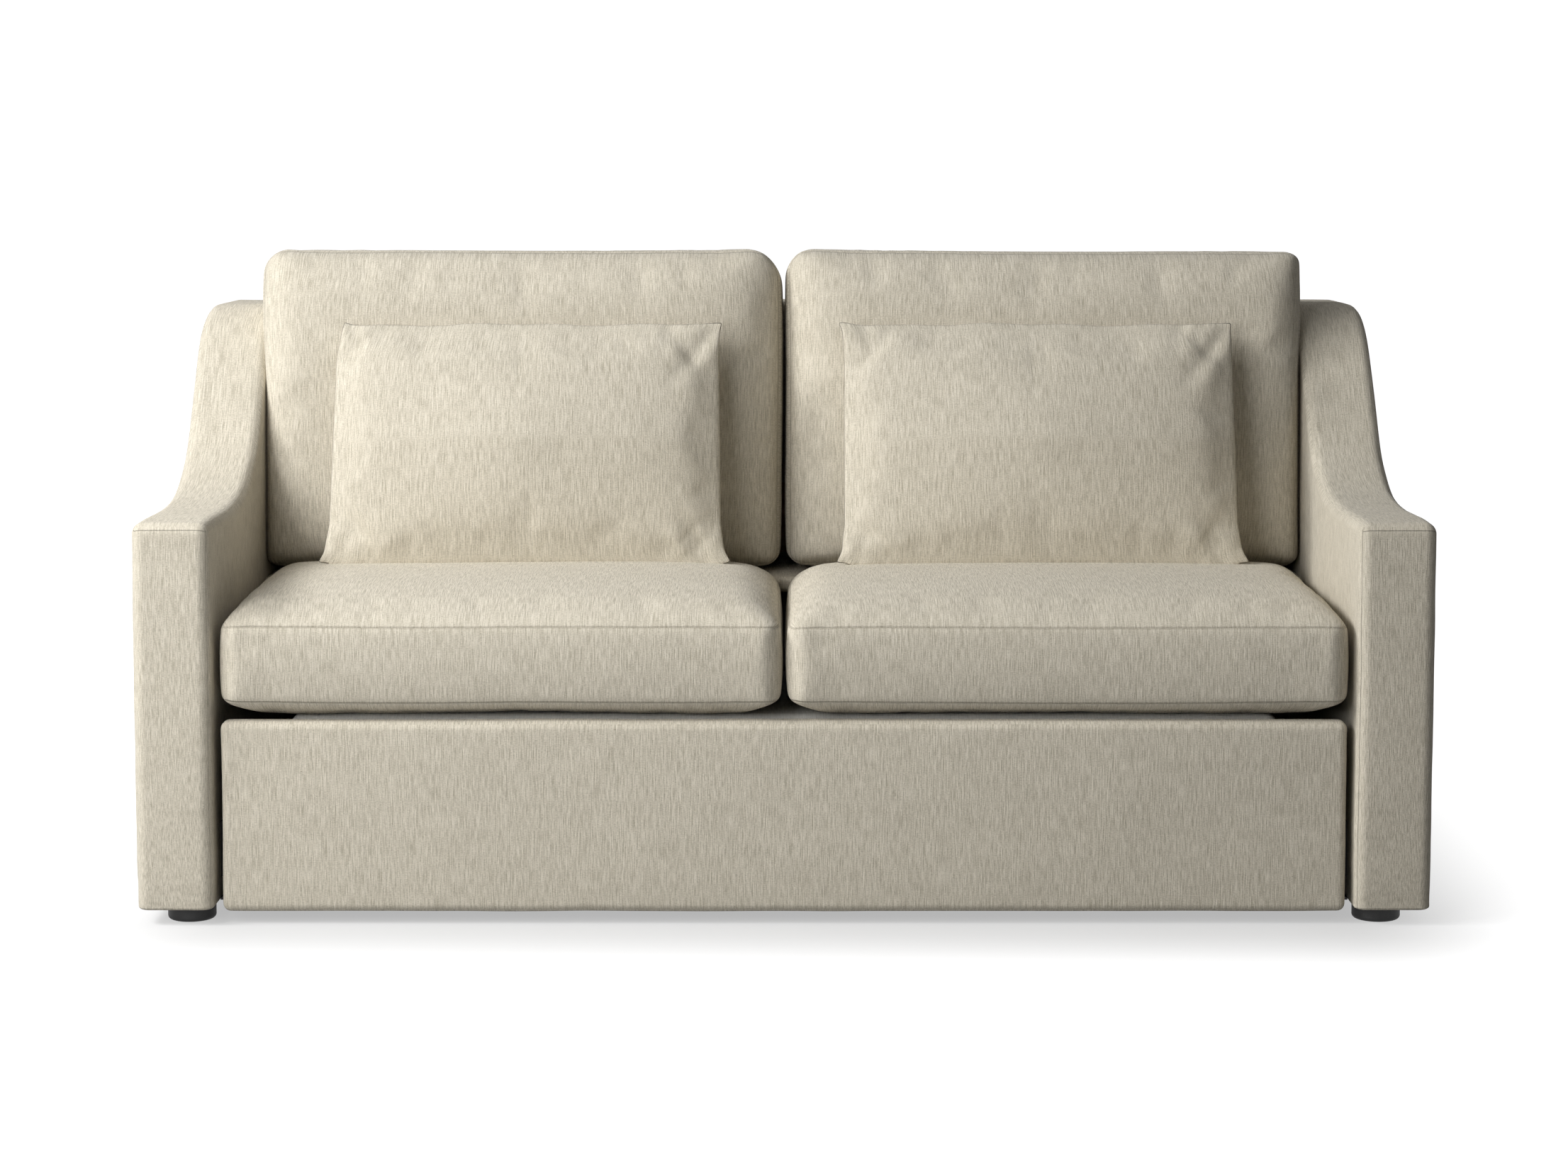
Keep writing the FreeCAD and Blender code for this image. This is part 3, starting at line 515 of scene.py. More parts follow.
def between(curve, at):
    """Value at a place on a curve of (place, value) pairs."""
    for (t0, v0), (t1, v1) in zip(curve, curve[1:]):
        if at <= t1:
            return v0 + (v1 - v0) * max(at - t0, 0.0) / (t1 - t0)
    return curve[-1][1]


def trim_sides(obj, lo, hi, sides):
    """Gives a pillow's outline its drawn sides, and a straight foot and head seam with small bumps."""
    centre, half = (lo + hi) / 2, (hi - lo) / 2
    points = [v.co for v in obj.data.vertices]
    for axis, other in ((0, 1), (1, 0)):
        shares = [(p[other] - centre[other]) / half[other] for p in points]
        reach = [[1.0, -1.0] for _ in range(2 * PILLOW_ROWS + 1)]
        for p, share in zip(points, shares):
            at = (p[axis] - centre[axis]) / half[axis]
            slot = reach[limited(int(round((share + 1) * PILLOW_ROWS)), 0, 2 * PILLOW_ROWS)]
            slot[0], slot[1] = min(slot[0], at), max(slot[1], at)
        ends = [[(i / PILLOW_ROWS - 1, slot[end]) for i, slot in enumerate(reach)] for end in (0, 1)]
        for p, share in zip(points, shares):
            if axis == 1 and abs(share) > PILLOW_HEAD:
                continue
            low, high = between(ends[0], share), between(ends[1], share)
            if axis == 0:
                to_low, to_high = (between(line, share) * PILLOW_WIDER for line in sides)
            else:
                bump = 0.012 * math.sin(share * 11.0 + 1.0) * math.sin(share * 4.3)
                to_low, to_high = PILLOW_FOOT, PILLOW_HEAD + bump
            at = (p[axis] - centre[axis]) / half[axis]
            part = (at - low) / max(high - low, 1e-6)
            goal = to_low + (to_high - to_low) * part
            p[axis] = centre[axis] + half[axis] * goal


def level_head(obj, lo, hi, columns=16, level=0.8):
    """Levels the top edge of a back cushion between its corners."""
    centre, half = (lo + hi) / 2, (hi - lo) / 2
    tops = [lo.y] * (2 * columns + 1)
    slots = []
    for vertex in obj.data.vertices:
        share = (vertex.co.x - centre.x) / half.x
        slot = limited(int(round((share + 1) * columns)), 0, 2 * columns)
        slots.append((slot, share))
        tops[slot] = max(tops[slot], vertex.co.y)
    for vertex, (slot, share) in zip(obj.data.vertices, slots):
        middle = limited((0.90 - abs(share)) / 0.15)
        up = max((vertex.co.y - centre.y) / half.y, 0.0) ** 2
        vertex.co.y += level * (hi.y + 0.001 - tops[slot]) * middle * up


def fold(obj, start, direction, length, depth, width, lead=0.01):
    """Presses a tapering crease into the cover's front from a point near its edge."""
    for vertex in obj.data.vertices:
        away_x = vertex.co.x - start[0]
        away_y = vertex.co.y - start[1]
        along = away_x * direction[0] + away_y * direction[1]
        across = away_y * direction[0] - away_x * direction[1]
        if -lead < along < length and vertex.normal.z > 0:
            taper = math.sin(math.pi * limited((along + lead) / (length + lead)) ** 0.6)
            trough = math.exp(-(across / width) ** 2)
            rim = math.exp(-((across - 1.7 * width) / width) ** 2)
            vertex.co.z -= depth * taper * (trough - 0.55 * rim)


# Shader helpers


def wire(tree, *pairs):
    for source, target in pairs:
        tree.links.new(source, target)


def start_group(name, inputs, outputs):
    """Empty shader group with sockets given as (name, kind, default)."""
    tree = bpy.data.node_groups.new(name, "ShaderNodeTree")
    for label, kind, value in inputs:
        socket = tree.interface.new_socket(name=label, in_out="INPUT", socket_type="NodeSocket" + kind)
        if value is not None:
            socket.default_value = value
    for label, kind in outputs:
        tree.interface.new_socket(name=label, in_out="OUTPUT", socket_type="NodeSocket" + kind)
    return tree, tree.nodes.new("NodeGroupInput"), tree.nodes.new("NodeGroupOutput")


def set_inputs(node, values):
    for key, value in values.items():
        node.inputs[key].default_value = value


def put_out(tree, sink, **values):
    """Wires sockets to a group's outputs by their names."""
    for key, value in values.items():
        tree.links.new(value, sink.inputs[key])


def math_node(tree, operation, a, b, clamp=False):
    """Output of a math node on sockets or numbers."""
    node = tree.nodes.new("ShaderNodeMath")
    node.operation = operation
    node.use_clamp = clamp
    for socket, value in zip(node.inputs, (a, b)):
        if isinstance(value, (int, float)):
            socket.default_value = value
        else:
            tree.links.new(value, socket)
    return node.outputs[0]


def plus(tree, a, b, clamp=False):
    return math_node(tree, "ADD", a, b, clamp)


def minus(tree, a, b):
    return math_node(tree, "SUBTRACT", a, b)


def times(tree, a, b, clamp=False):
    return math_node(tree, "MULTIPLY", a, b, clamp)


def own_coordinates(tree):
    """Coordinates of the object that carries the material."""
    return tree.nodes.new("ShaderNodeTexCoord").outputs["Object"]


def vector_node(tree, operation, vector):
    """Vector math node with its first input wired."""
    node = tree.nodes.new("ShaderNodeVectorMath")
    node.operation = operation
    tree.links.new(vector, node.inputs[0])
    return node


def magnified(tree, vector, factor):
    """Vector times a factor socket."""
    node = vector_node(tree, "SCALE", vector)
    tree.links.new(factor, node.inputs["Scale"])
    return node.outputs[0]


def scaled_noise(tree, vector, stretch, detail, scale=1.0):
    """Noise over a vector stretched by its own factor on each axis."""
    mapping = tree.nodes.new("ShaderNodeMapping")
    mapping.vector_type = "POINT"
    mapping.inputs["Scale"].default_value = stretch
    tree.links.new(vector, mapping.inputs["Vector"])
    node = tree.nodes.new("ShaderNodeTexNoise")
    set_inputs(node, {"Scale": scale, "Detail": detail})
    tree.links.new(mapping.outputs[0], node.inputs["Vector"])
    return node.outputs["Fac"]


def ramp(tree, value, low, high):
    """Value moved to 0..1 between low and high."""
    node = tree.nodes.new("ShaderNodeMapRange")
    node.interpolation_type = "SMOOTHSTEP"
    set_inputs(node, {"From Min": low, "From Max": high})
    tree.links.new(value, node.inputs["Value"])
    return node.outputs["Result"]


def mix_colors(tree, factor, a, b):
    """Colour mix of two sockets or colours by a factor socket."""
    node = tree.nodes.new("ShaderNodeMix")
    node.data_type = "RGBA"
    node.clamp_factor = True
    tree.links.new(factor, node.inputs["Factor"])
    for value, socket in ((a, node.inputs[6]), (b, node.inputs[7])):
        if isinstance(value, (tuple, list)):
            socket.default_value = value
        else:
            tree.links.new(value, socket)
    return node.outputs[2]


# Shared finishes


# Noises of the cloth, counted in threads: cycles across and along, detail, and weight in the tone
YARNS = {
    "warp": (0.72, 0.040, 4.0, 1.5),
    "weft": (0.20, 0.85, 3.0, 0.95),
    "bar": (0.022, 0.42, 3.0, 0.26),
    "cloud": (0.012, 0.009, 2.0, 0.12),
    "slub": (0.40, 0.018, 2.0, 0.0),
    "spot": (0.22, 0.70, 2.0, 0.0)}


def weave_group():
    """Slub yarns over a plain weave: pale and dark yarns, flecks, and seams pressed in and darkened with
    painted shade.
    """
    tree, source, sink = start_group(
        "Woven yarn",
        [("Vector", "Vector", None), ("Light", "Color", (0.8, 0.8, 0.8, 1)),
         ("Dark", "Color", (0.4, 0.4, 0.4, 1)), ("Fleck", "Color", (0.1, 0.1, 0.1, 1)),
         ("Thread", "Float", 0.0013), ("Slub", "Float", 1.0), ("Flecks", "Float", 1.0),
         ("Seam", "Float", 0.0)],
        [("Color", "Color"), ("Height", "Float"), ("Roughness", "Float")])
    given = source.outputs
    vector = magnified(tree, given["Vector"], math_node(tree, "DIVIDE", 1.0, given["Thread"]))
    yarn = {name: scaled_noise(tree, vector, (across, along, 1), detail)
            for name, (across, along, detail, weight) in YARNS.items()}
    tone = plus(tree, times(tree, minus(tree, yarn["slub"], 0.5), given["Slub"]), 0.56)
    for name, (across, along, detail, weight) in YARNS.items():
        if weight:
            tone = plus(tree, tone, times(tree, minus(tree, yarn[name], 0.5), weight))
    cloth = mix_colors(tree, ramp(tree, tone, 0.11, 0.93), given["Dark"], given["Light"])
    spots = times(tree, ramp(tree, yarn["spot"], 0.66, 0.80), given["Flecks"], clamp=True)
    cloth = mix_colors(tree, spots, cloth, given["Fleck"])
    # The seam marks press a groove into the height and pull the colour towards the fleck colour: painted shade
    # along the seams.
    line = ramp(tree, given["Seam"], 0.72, 1.0)
    cloth = mix_colors(tree, times(tree, line, 0.35), cloth, given["Fleck"])
    height = plus(tree, times(tree, yarn["warp"], 0.6), times(tree, yarn["weft"], 0.5))
    height = plus(tree, height, times(tree, yarn["slub"], 0.5))
    height = minus(tree, height, times(tree, line, 1.6))
    rough = plus(tree, times(tree, tone, -0.08), 0.96)
    put_out(tree, sink, Color=cloth, Height=height, Roughness=rough)
    return tree


def coat_group():
    """Mottled coat with rubbed spots, for painted, plated and moulded pieces."""
    tree, source, sink = start_group(
        "Rubbed coat",
        [("Vector", "Vector", None), ("Base", "Color", (0.1, 0.1, 0.1, 1)),
         ("Rubbed", "Color", (0.4, 0.4, 0.4, 1)), ("Grain", "Float", 300.0), ("Rub", "Float", 0.3),
         ("Roughness", "Float", 0.5)],
        [("Color", "Color"), ("Height", "Float"), ("Roughness", "Float")])
    given = source.outputs
    fine = scaled_noise(tree, magnified(tree, given["Vector"], given["Grain"]), (1, 1, 1), 3.0)
    broad = scaled_noise(tree, given["Vector"], (1, 1, 1), 5.0, 14.0)
    rubbed = times(tree, ramp(tree, broad, 0.56, 0.72), given["Rub"])
    color = mix_colors(tree, rubbed, given["Base"], given["Rubbed"])
    rough = plus(tree, given["Roughness"], times(tree, minus(tree, fine, 0.5), 0.25), clamp=True)
    put_out(tree, sink, Color=color, Height=fine, Roughness=rough)
    return tree


def ply_group():
    """Plywood: long grain over the faces."""
    tree, source, sink = start_group(
        "Ply grain",
        [("Vector", "Vector", None), ("Pale", "Color", (0.6, 0.45, 0.3, 1)),
         ("Deep", "Color", (0.4, 0.27, 0.15, 1))],
        [("Color", "Color"), ("Height", "Float")])
    given = source.outputs
    grain = scaled_noise(tree, given["Vector"], (4.0, 60.0, 45.0), 5.0)
    put_out(tree, sink, Color=mix_colors(tree, ramp(tree, grain, 0.3, 0.7), given["Deep"], given["Pale"]),
            Height=grain)
    return tree


def shared_group(label):
    """The shader group with this name, built once."""
    makers = {"Woven yarn": weave_group, "Rubbed coat": coat_group, "Ply grain": ply_group}
    return bpy.data.node_groups.get(label) or makers[label]()


def surface(name, label, relief, gloss, mapped=False, **values):
    """Material around one shared group. A mapped one takes the covers' weave map and seam marks."""
    material = bpy.data.materials.get(name)
    if material:
        return material
    material = bpy.data.materials.new(name)
    material.use_nodes = True
    tree = material.node_tree
    shader = tree.nodes["Principled BSDF"]
    group = tree.nodes.new("ShaderNodeGroup")
    group.node_tree = shared_group(label)
    bump = tree.nodes.new("ShaderNodeBump")
    set_inputs(group, values)
    set_inputs(shader, gloss)
    set_inputs(bump, {"Distance": relief})
    wire(tree, (group.outputs["Color"], shader.inputs["Base Color"]),
         (group.outputs["Height"], bump.inputs["Height"]), (bump.outputs["Normal"], shader.inputs["Normal"]))
    if "Roughness" in group.outputs:
        wire(tree, (group.outputs["Roughness"], shader.inputs["Roughness"]))
    if mapped:
        weave = tree.nodes.new("ShaderNodeUVMap")
        weave.uv_map = "weave"
        seam = tree.nodes.new("ShaderNodeAttribute")
        seam.attribute_name = "seam"
        wire(tree, (weave.outputs[0], group.inputs["Vector"]), (seam.outputs["Fac"], group.inputs["Seam"]))
    else:
        wire(tree, (own_coordinates(tree), group.inputs["Vector"]))
    return material


def woven(name, light, dark, fleck_and_seam_shade, thread, relief, slub, flecks, mapped):
    """Cloth material."""
    return surface(name, "Woven yarn", relief,
                   {"Sheen Weight": 0.12, "Sheen Roughness": 0.6, "Specular IOR Level": 0.25}, mapped,
                   Light=light, Dark=dark, Fleck=fleck_and_seam_shade, Thread=thread, Slub=slub, Flecks=flecks)


def linen():
    fabric = bpy.context.scene.sofa_fabric
    return woven("Oatmeal linen", tuple(fabric.light), tuple(fabric.dark), tuple(fabric.fleck_and_seam_shade), fabric.thread,
                 fabric.relief, 0.85, 1.0, True)


def ticking():
    return woven("Mattress ticking", (0.80, 0.79, 0.75, 1), (0.62, 0.61, 0.57, 1), (0.55, 0.56, 0.58, 1),
                 0.0016, 0.0004, 0.4, 0.25, True)


def deck_cloth():
    return woven("Deck cloth", (0.10, 0.10, 0.11, 1), (0.035, 0.035, 0.04, 1), (0.02, 0.02, 0.02, 1),
                 0.0018, 0.0004, 0.3, 0.2, False)


def webbing():
    return woven("Black webbing", (0.05, 0.05, 0.05, 1), (0.015, 0.015, 0.015, 1), (0.01, 0.01, 0.01, 1),
                 0.002, 0.0005, 0.2, 0.0, False)


def coated(name, base, rubbed, grain, rub, rough, relief, metallic=0.0):
    """Painted, plated or moulded material."""
    return surface(name, "Rubbed coat", relief, {"Metallic": metallic},
                   Base=base, Rubbed=rubbed, Grain=grain, Rub=rub, Roughness=rough)


def ply():
    return surface("Birch ply", "Ply grain", 0.0003, {"Roughness": 0.65},
                   Pale=(0.62, 0.47, 0.30, 1), Deep=(0.42, 0.29, 0.17, 1))


def gap_shade_ply():
    # The black is painted shade: the ply packers show through the gaps beside the front panel and are darkened
    # so that these gaps read dark.
    return coated("Black ply as painted gap shade", (0.02, 0.018, 0.016, 1), (0.07, 0.06, 0.05, 1), 400.0, 0.4, 0.7, 0.0002)


def frame_paint():
    return coated("Frame powder coat", (0.030, 0.030, 0.033, 1), (0.16, 0.16, 0.16, 1), 900.0, 0.35, 0.42,
                  0.0001)


def zinc():
    return coated("Zinc plate", (0.55, 0.55, 0.54, 1), (0.38, 0.37, 0.35, 1), 700.0, 0.5, 0.34, 0.00005,
                  metallic=1.0)


def black_plastic():
    return coated("Black plastic", (0.012, 0.012, 0.012, 1), (0.04, 0.04, 0.04, 1), 1200.0, 0.3, 0.55, 0.00008)


def rubber():
    return coated("Glide rubber", (0.02, 0.02, 0.02, 1), (0.06, 0.06, 0.06, 1), 1500.0, 0.4, 0.8, 0.0001)


def paint_nodes(material, *nodes):
    """Gives carried-over solids their procedural material."""
    for node in nodes:
        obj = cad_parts[node]
        obj.data.materials.clear()
        obj.data.materials.append(material)


# Pieces


ARM_TOP = ((0.0, 0.613), (0.240, 0.617), (0.314, 0.621), (0.381, 0.632), (0.451, 0.660), (0.511, 0.702),
           (0.594, 0.807), (0.647, 0.868), (0.700, 0.899), (0.765, 0.911), (0.990, 0.911))


def arm_top(depth):
    """Height of the arm at a distance behind its front, on a smooth curve through ARM_TOP."""
    depth = min(max(depth, 0.0), ARM_TOP[-1][0])
    slopes = []
    for i in range(len(ARM_TOP)):
        a = ARM_TOP[max(i - 1, 0)]
        b = ARM_TOP[min(i + 1, len(ARM_TOP) - 1)]
        slopes.append((b[1] - a[1]) / (b[0] - a[0]))
    slopes[0] = slopes[-1] = slopes[-2] = 0.0
    for i in range(len(ARM_TOP) - 1):
        (x0, z0), (x1, z1) = ARM_TOP[i], ARM_TOP[i + 1]
        if depth <= x1:
            h = x1 - x0
            t = (depth - x0) / h
            return ((2 * t ** 3 - 3 * t * t + 1) * z0 + (t ** 3 - 2 * t * t + t) * h * slopes[i]
                    + (3 * t * t - 2 * t ** 3) * z1 + (t ** 3 - t * t) * h * slopes[i + 1])
    return ARM_TOP[-1][1]


class SOFA_OT_stage(bpy.types.Operator):
    """Pale floor and backdrop, soft lamps and the camera"""
    bl_idname = "sofa.stage"
    bl_label = "Stage"

    def execute(self, context):
        stage = context.scene.sofa_stage
        focal_px = stage.focal / SENSOR * PHOTO_W
        drop = PHOTO_H / 2 - stage.horizon + stage.shift * PHOTO_W
        data = bpy.data.cameras.new("Camera")
        data.sensor_fit = "HORIZONTAL"
        data.sensor_width = SENSOR
        data.lens = stage.focal
        data.shift_y = stage.shift
        data.clip_end = 60.0
        camera = bpy.data.objects.new("Camera", data)
        camera.location = (0.0, CAD_BOX[0][1] - stage.distance, stage.height)
        camera.rotation_euler = (math.pi / 2 - math.atan2(drop, focal_px), 0.0, 0.0)
        context.scene.collection.objects.link(camera)
        context.scene.camera = camera
        self.backdrop()
        self.lamp("Key lamp", (-4.3, -1.35, 3.6), 1.6, stage.key)
        self.lamp("Front lamp", (-2.6, -2.2, 2.6), 1.2, stage.front)
        self.lamp("Low lamp", (-1.8, -3.6, 1.6), 2.0, stage.low)
        world = bpy.data.worlds.new("Room")
        context.scene.world = world
        world.use_nodes = True
        tree = world.node_tree
        ground = tree.nodes["Background"]
        ground.inputs["Color"].default_value = (1, 1, 1, 1)
        seen = self.seen(tree)
        level = plus(tree, times(tree, minus(tree, 1.0, seen), stage.world), seen)
        wire(tree, (level, ground.inputs["Strength"]))
        context.scene.view_settings.view_transform = "Standard"
        return {"FINISHED"}

    def seen(self, tree):
        """1 for rays from the camera, straight or through gloss and glass."""
        path = tree.nodes.new("ShaderNodeLightPath").outputs
        total = math_node(tree, "MAXIMUM", path["Is Camera Ray"], path["Is Glossy Ray"])
        return math_node(tree, "MAXIMUM", total, path["Is Transmission Ray"])

    def backdrop(self, reach=9.0, sweep=3.0, count=96):
        """Floor that sweeps up into a wall far behind and around the sofa."""
        bends = [math.pi / 2 * i / 12 for i in range(1, 13)]
        profile = [(0.0, 0.0), (reach, 0.0)]
        profile += [(reach + sweep * math.sin(a), sweep - sweep * math.cos(a)) for a in bends]
        profile.append((reach + sweep, 3 * sweep))
        turns = [2 * math.pi * k / count for k in range(count)]
        verts = [(0.0, 0.0, 0.0)]
        for radius, z in profile[1:]:
            verts += [(radius * math.cos(a), radius * math.sin(a), z) for a in turns]
        faces = [(0, 1 + k, 1 + (k + 1) % count) for k in range(count)]
        for ring in range(len(profile) - 2):
            base = 1 + ring * count
            for k in range(count):
                after = (k + 1) % count
                faces.append((base + k, base + count + k, base + count + after, base + after))
        floor = new_object("floor", verts, faces)
        material = bpy.data.materials.new("Pale floor")
        material.use_nodes = True
        tree = material.node_tree
        shader = tree.nodes["Principled BSDF"]
        set_inputs(shader, {"Base Color": (0.32, 0.32, 0.32, 1), "Roughness": 0.9, "Specular IOR Level": 0.0,
                            "Emission Color": (1, 1, 1, 1)})
        # Camera rays see the floor glow, less near the sofa: painted shadow around its footprint.
        glow = times(tree, self.seen(tree), self.floor_glow_and_painted_shadow(tree))
        wire(tree, (glow, shader.inputs["Emission Strength"]))
        floor.data.materials.append(material)

    # under is the glow right beside the sofa, the depth of the painted shadow.
    def floor_glow_and_painted_shadow(self, tree, footprint=(0.84, 0.50, 0), shadow_fringe=0.40, under=0.46):
        """Glow of the floor: white but for a fringe around the sofa's footprint, where the glow drops to paint
        a shadow under the sofa and the lamps' real shadow shows as well.
        """
        beside = vector_node(tree, "SUBTRACT", vector_node(tree, "ABSOLUTE", own_coordinates(tree)).outputs[0])
        beside.inputs[1].default_value = footprint
        outside = vector_node(tree, "MAXIMUM", beside.outputs[0])
        outside.inputs[1].default_value = (0, 0, 0)
        away = vector_node(tree, "LENGTH", outside.outputs[0]).outputs["Value"]
        return plus(tree, times(tree, ramp(tree, away, 0.0, shadow_fringe), 1 - under), under)

    def lamp(self, name, place_at, size, power, target=(0.0, -0.1, 0.5)):
        data = bpy.data.lights.new(name, "AREA")
        data.shape = "DISK"
        data.size = size
        data.energy = power
        lamp = bpy.data.objects.new(name, data)
        lamp.location = place_at
        lamp.rotation_euler = (Vector(place_at) - Vector(target)).to_track_quat("Z", "Y").to_euler()
        bpy.context.scene.collection.objects.link(lamp)


class SOFA_OT_arms(bpy.types.Operator):
    """Padded arm covers with their swooping tops"""
    bl_idname = "sofa.arms"
    bl_label = "Arms"

    def execute(self, context):
        shape = context.scene.sofa_shape
        swell = (shape.arm_swell, shape.arm_swell * 0.7, shape.arm_swell)
        for side, sign in SIDES:
            node = "arm_cover_" + side
            lo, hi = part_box(node)
            radius = shape.arm_radius

            def warp(point):
                """Lowers the block's top to the swoop, with a slightly fuller front end."""
                depth = point.y - lo.y
                share = (point.z - lo.z) / (hi.z - lo.z)
                top = arm_top(depth) + 0.006 * limited(1.5 - depth / 0.14)
                return Vector((point.x, point.y, point.z - (hi.z - top) * (1 - (1 - share) ** 2)))

            def mark(flat):
                """Seams along the front's top and inner edges."""
                inner = flat[0] if sign < 0 else -flat[0]
                edge = hi.x if sign < 0 else -lo.x
                near_front = flat[1] < lo.y + 0.5 * radius
                top_line = near_front and abs(flat[2] - (hi.z - 0.6 * radius)) < 0.001
                side_line = abs(flat[1] - (lo.y + 0.15 * radius)) < 0.001 and abs(inner - edge) < 0.001
                return 1.0 if (top_line or side_line) and flat[2] > lo.z else 0.0

            obj = soft_block("arm_upholstery_" + side, [lo.x, lo.y, lo.z - shape.hem], list(hi), radius,
                             shape.step, swell, warp, mark, 0.0012)
            dress(obj, "sofa_base", node)
        return {"FINISHED"}


class SOFA_OT_back(bpy.types.Operator):
    """Padded back and the ledge that the back cushions stand on"""
    bl_idname = "sofa.back"
    bl_label = "Back and ledge"

    def execute(self, context):
        shape = context.scene.sofa_shape
        lo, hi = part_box("back_cover")
        ledge_lo, ledge_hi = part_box("back_ledge")
        lean = ledge_hi.y - lo.y

        def warp(point):
            """Leans the front face back from the ledge up."""
            front = (hi.y - point.y) / (hi.y - lo.y)
            drop = (hi.z - point.z) / (hi.z - ledge_hi.z)
            return Vector((point.x, point.y + lean * front * limited(drop), point.z))

        obj = soft_block("back_upholstery", list(lo), list(hi), shape.arm_radius, 0.02,
                         (0.0, 0.004, 0.003), warp, None, 0.0012)
        dress(obj, "sofa_base", "back_cover")
        obj = soft_block("ledge_upholstery", list(ledge_lo), list(ledge_hi), 0.008, 0.02, (0.0, 0.001, 0.0))
        dress(obj, "sofa_base", "back_ledge")
        return {"FINISHED"}


class SOFA_OT_front_panel(bpy.types.Operator):
    """Seamless upholstered panel that travels out with the bed"""
    bl_idname = "sofa.front_panel"
    bl_label = "Front panel"

    def execute(self, context):
        shape = context.scene.sofa_shape
        lo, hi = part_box("front_panel")
        padding = 0.0025
        obj = soft_block("panel_upholstery", [lo.x - padding, lo.y, lo.z - shape.hem],
                         [hi.x + padding, hi.y, hi.z], shape.panel_radius, shape.step,
                         (0.0, 0.003, 0.001), None, None, 0.0010)
        dress(obj, "body_section", "front_panel")
        return {"FINISHED"}


class SOFA_OT_seat_cushions(bpy.types.Operator):
    """Boxed seat cushions with a high crown"""
    bl_idname = "sofa.seat_cushions"
    bl_label = "Seat cushions"

    def execute(self, context):
        shape = context.scene.sofa_shape
        seams = (0.331, 0.457)
        crowns = (-0.016, shape.seat_dome - 0.010)
        outer, inner, front, rear = 0.028, 0.045, 0.09, 0.03
        for side, sign in SIDES:
            node = "seat_cushion_" + side
            lo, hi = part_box(node)
            centre = (lo + hi) / 2
            ends = (outer, inner) if sign < 0 else (inner, outer)
            cover = Cover((hi.x - lo.x) / 2, (hi.y - lo.y) / 2 - 0.006, (0.03,) * 4, seams, crowns,
                          shape.cushion_step, 0.0, (*ends, front, rear), 0.010)
            obj = sew(cover, "seat_cover_" + side, centre, 0.0025, 3.0, sign)
            settle(obj, shape.cap * 0.5, shape.pressure, shape.frames)
            fit(obj, lo + Vector((-0.003 if sign < 0 else 0.0, -0.003, -0.001)),
                hi + Vector((0.0 if sign < 0 else 0.003, 0.003, 0.007)))
            for vertex in obj.data.vertices:
                away = vertex.co.x - centre.x
                end = (abs(away) / (hi.x - centre.x)) ** 8
                low = limited((0.352 - vertex.co.z) / 0.037)
                vertex.co.x -= math.copysign(0.020 * low * low * end, away)
                vertex.co.z += 0.009 * low * end
            crease(obj, 0.0008, lo - Vector((0.004, 0.004, 0.001)), hi + Vector((0.004, 0.0, 0.009)))
            dress(obj, "seat_" + side, node)
        return {"FINISHED"}


class SOFA_OT_back_cushions(bpy.types.Operator):
    """Leaning back cushions with boxed edges and full faces"""
    bl_idname = "sofa.back_cushions"
    bl_label = "Back cushions"

    def execute(self, context):
        shape = context.scene.sofa_shape
        # Corner radii, shoulders, fall of the top edge and swell of the outer side, low and high
        sewing = {
            "left": ((0.02, 0.025, 0.040, 0.058), (0.022, 0.08, 0.012, 0.06), 0.002, -0.013, -0.018),
            "right": ((0.025, 0.02, 0.045, 0.018), (0.06, 0.022, 0.012, 0.05), 0.005, 0.006, 0.011)}
        band = 0.075
        for side, sign in SIDES:
            node = "back_cushion_" + side
            radii, shoulders, fall, low_swell, high_swell = sewing[side]
            turn, lo, hi = leaning(node, 6.06)
            centre = (lo + hi) / 2
            cover = Cover((hi.x - lo.x) / 2, (hi.y - lo.y) / 2, radii, (lo.z + 0.05, hi.z - band),
                          (-0.045, 0.062), shape.cushion_step, 0.0, shoulders, 0.012)
            obj = sew(cover, "back_cushion_cover_" + side, centre, 0.004, 2.6, sign + 7)
            settle(obj, shape.cap * 0.5, shape.pressure, shape.frames)
            fit(obj, lo + Vector((0.0, -0.001, 0.001)), hi + Vector((0.0, 0.001, 0.001)))
            for vertex in obj.data.vertices:
                free = limited((vertex.co.y - hi.y + 0.20) / 0.08)
                across = abs(vertex.co.x)
                vertex.co.y += (math.sin(across * 9.0 + 1.2) * 0.002 - fall * across) * free
                outer = max(sign * (vertex.co.x - centre.x) / (hi.x - centre.x), 0.0)
                front = limited((vertex.co.z - centre.z) / (hi.z - band - centre.z))
                vertex.co.z += 0.024 * outer ** 5 * (1 - free) * front
                vertex.co.x += low_swell * outer ** 2 * (1 - free)
                vertex.co.x += high_swell * free * outer ** 2
            level_head(obj, lo, hi)
            crease(obj, 0.002, lo - Vector((0.02, 0.001, 0)), hi + Vector((0.012, 0.006, 0.003)))
            place(obj, turn)
            dress(obj, "back_" + side, node)
        return {"FINISHED"}


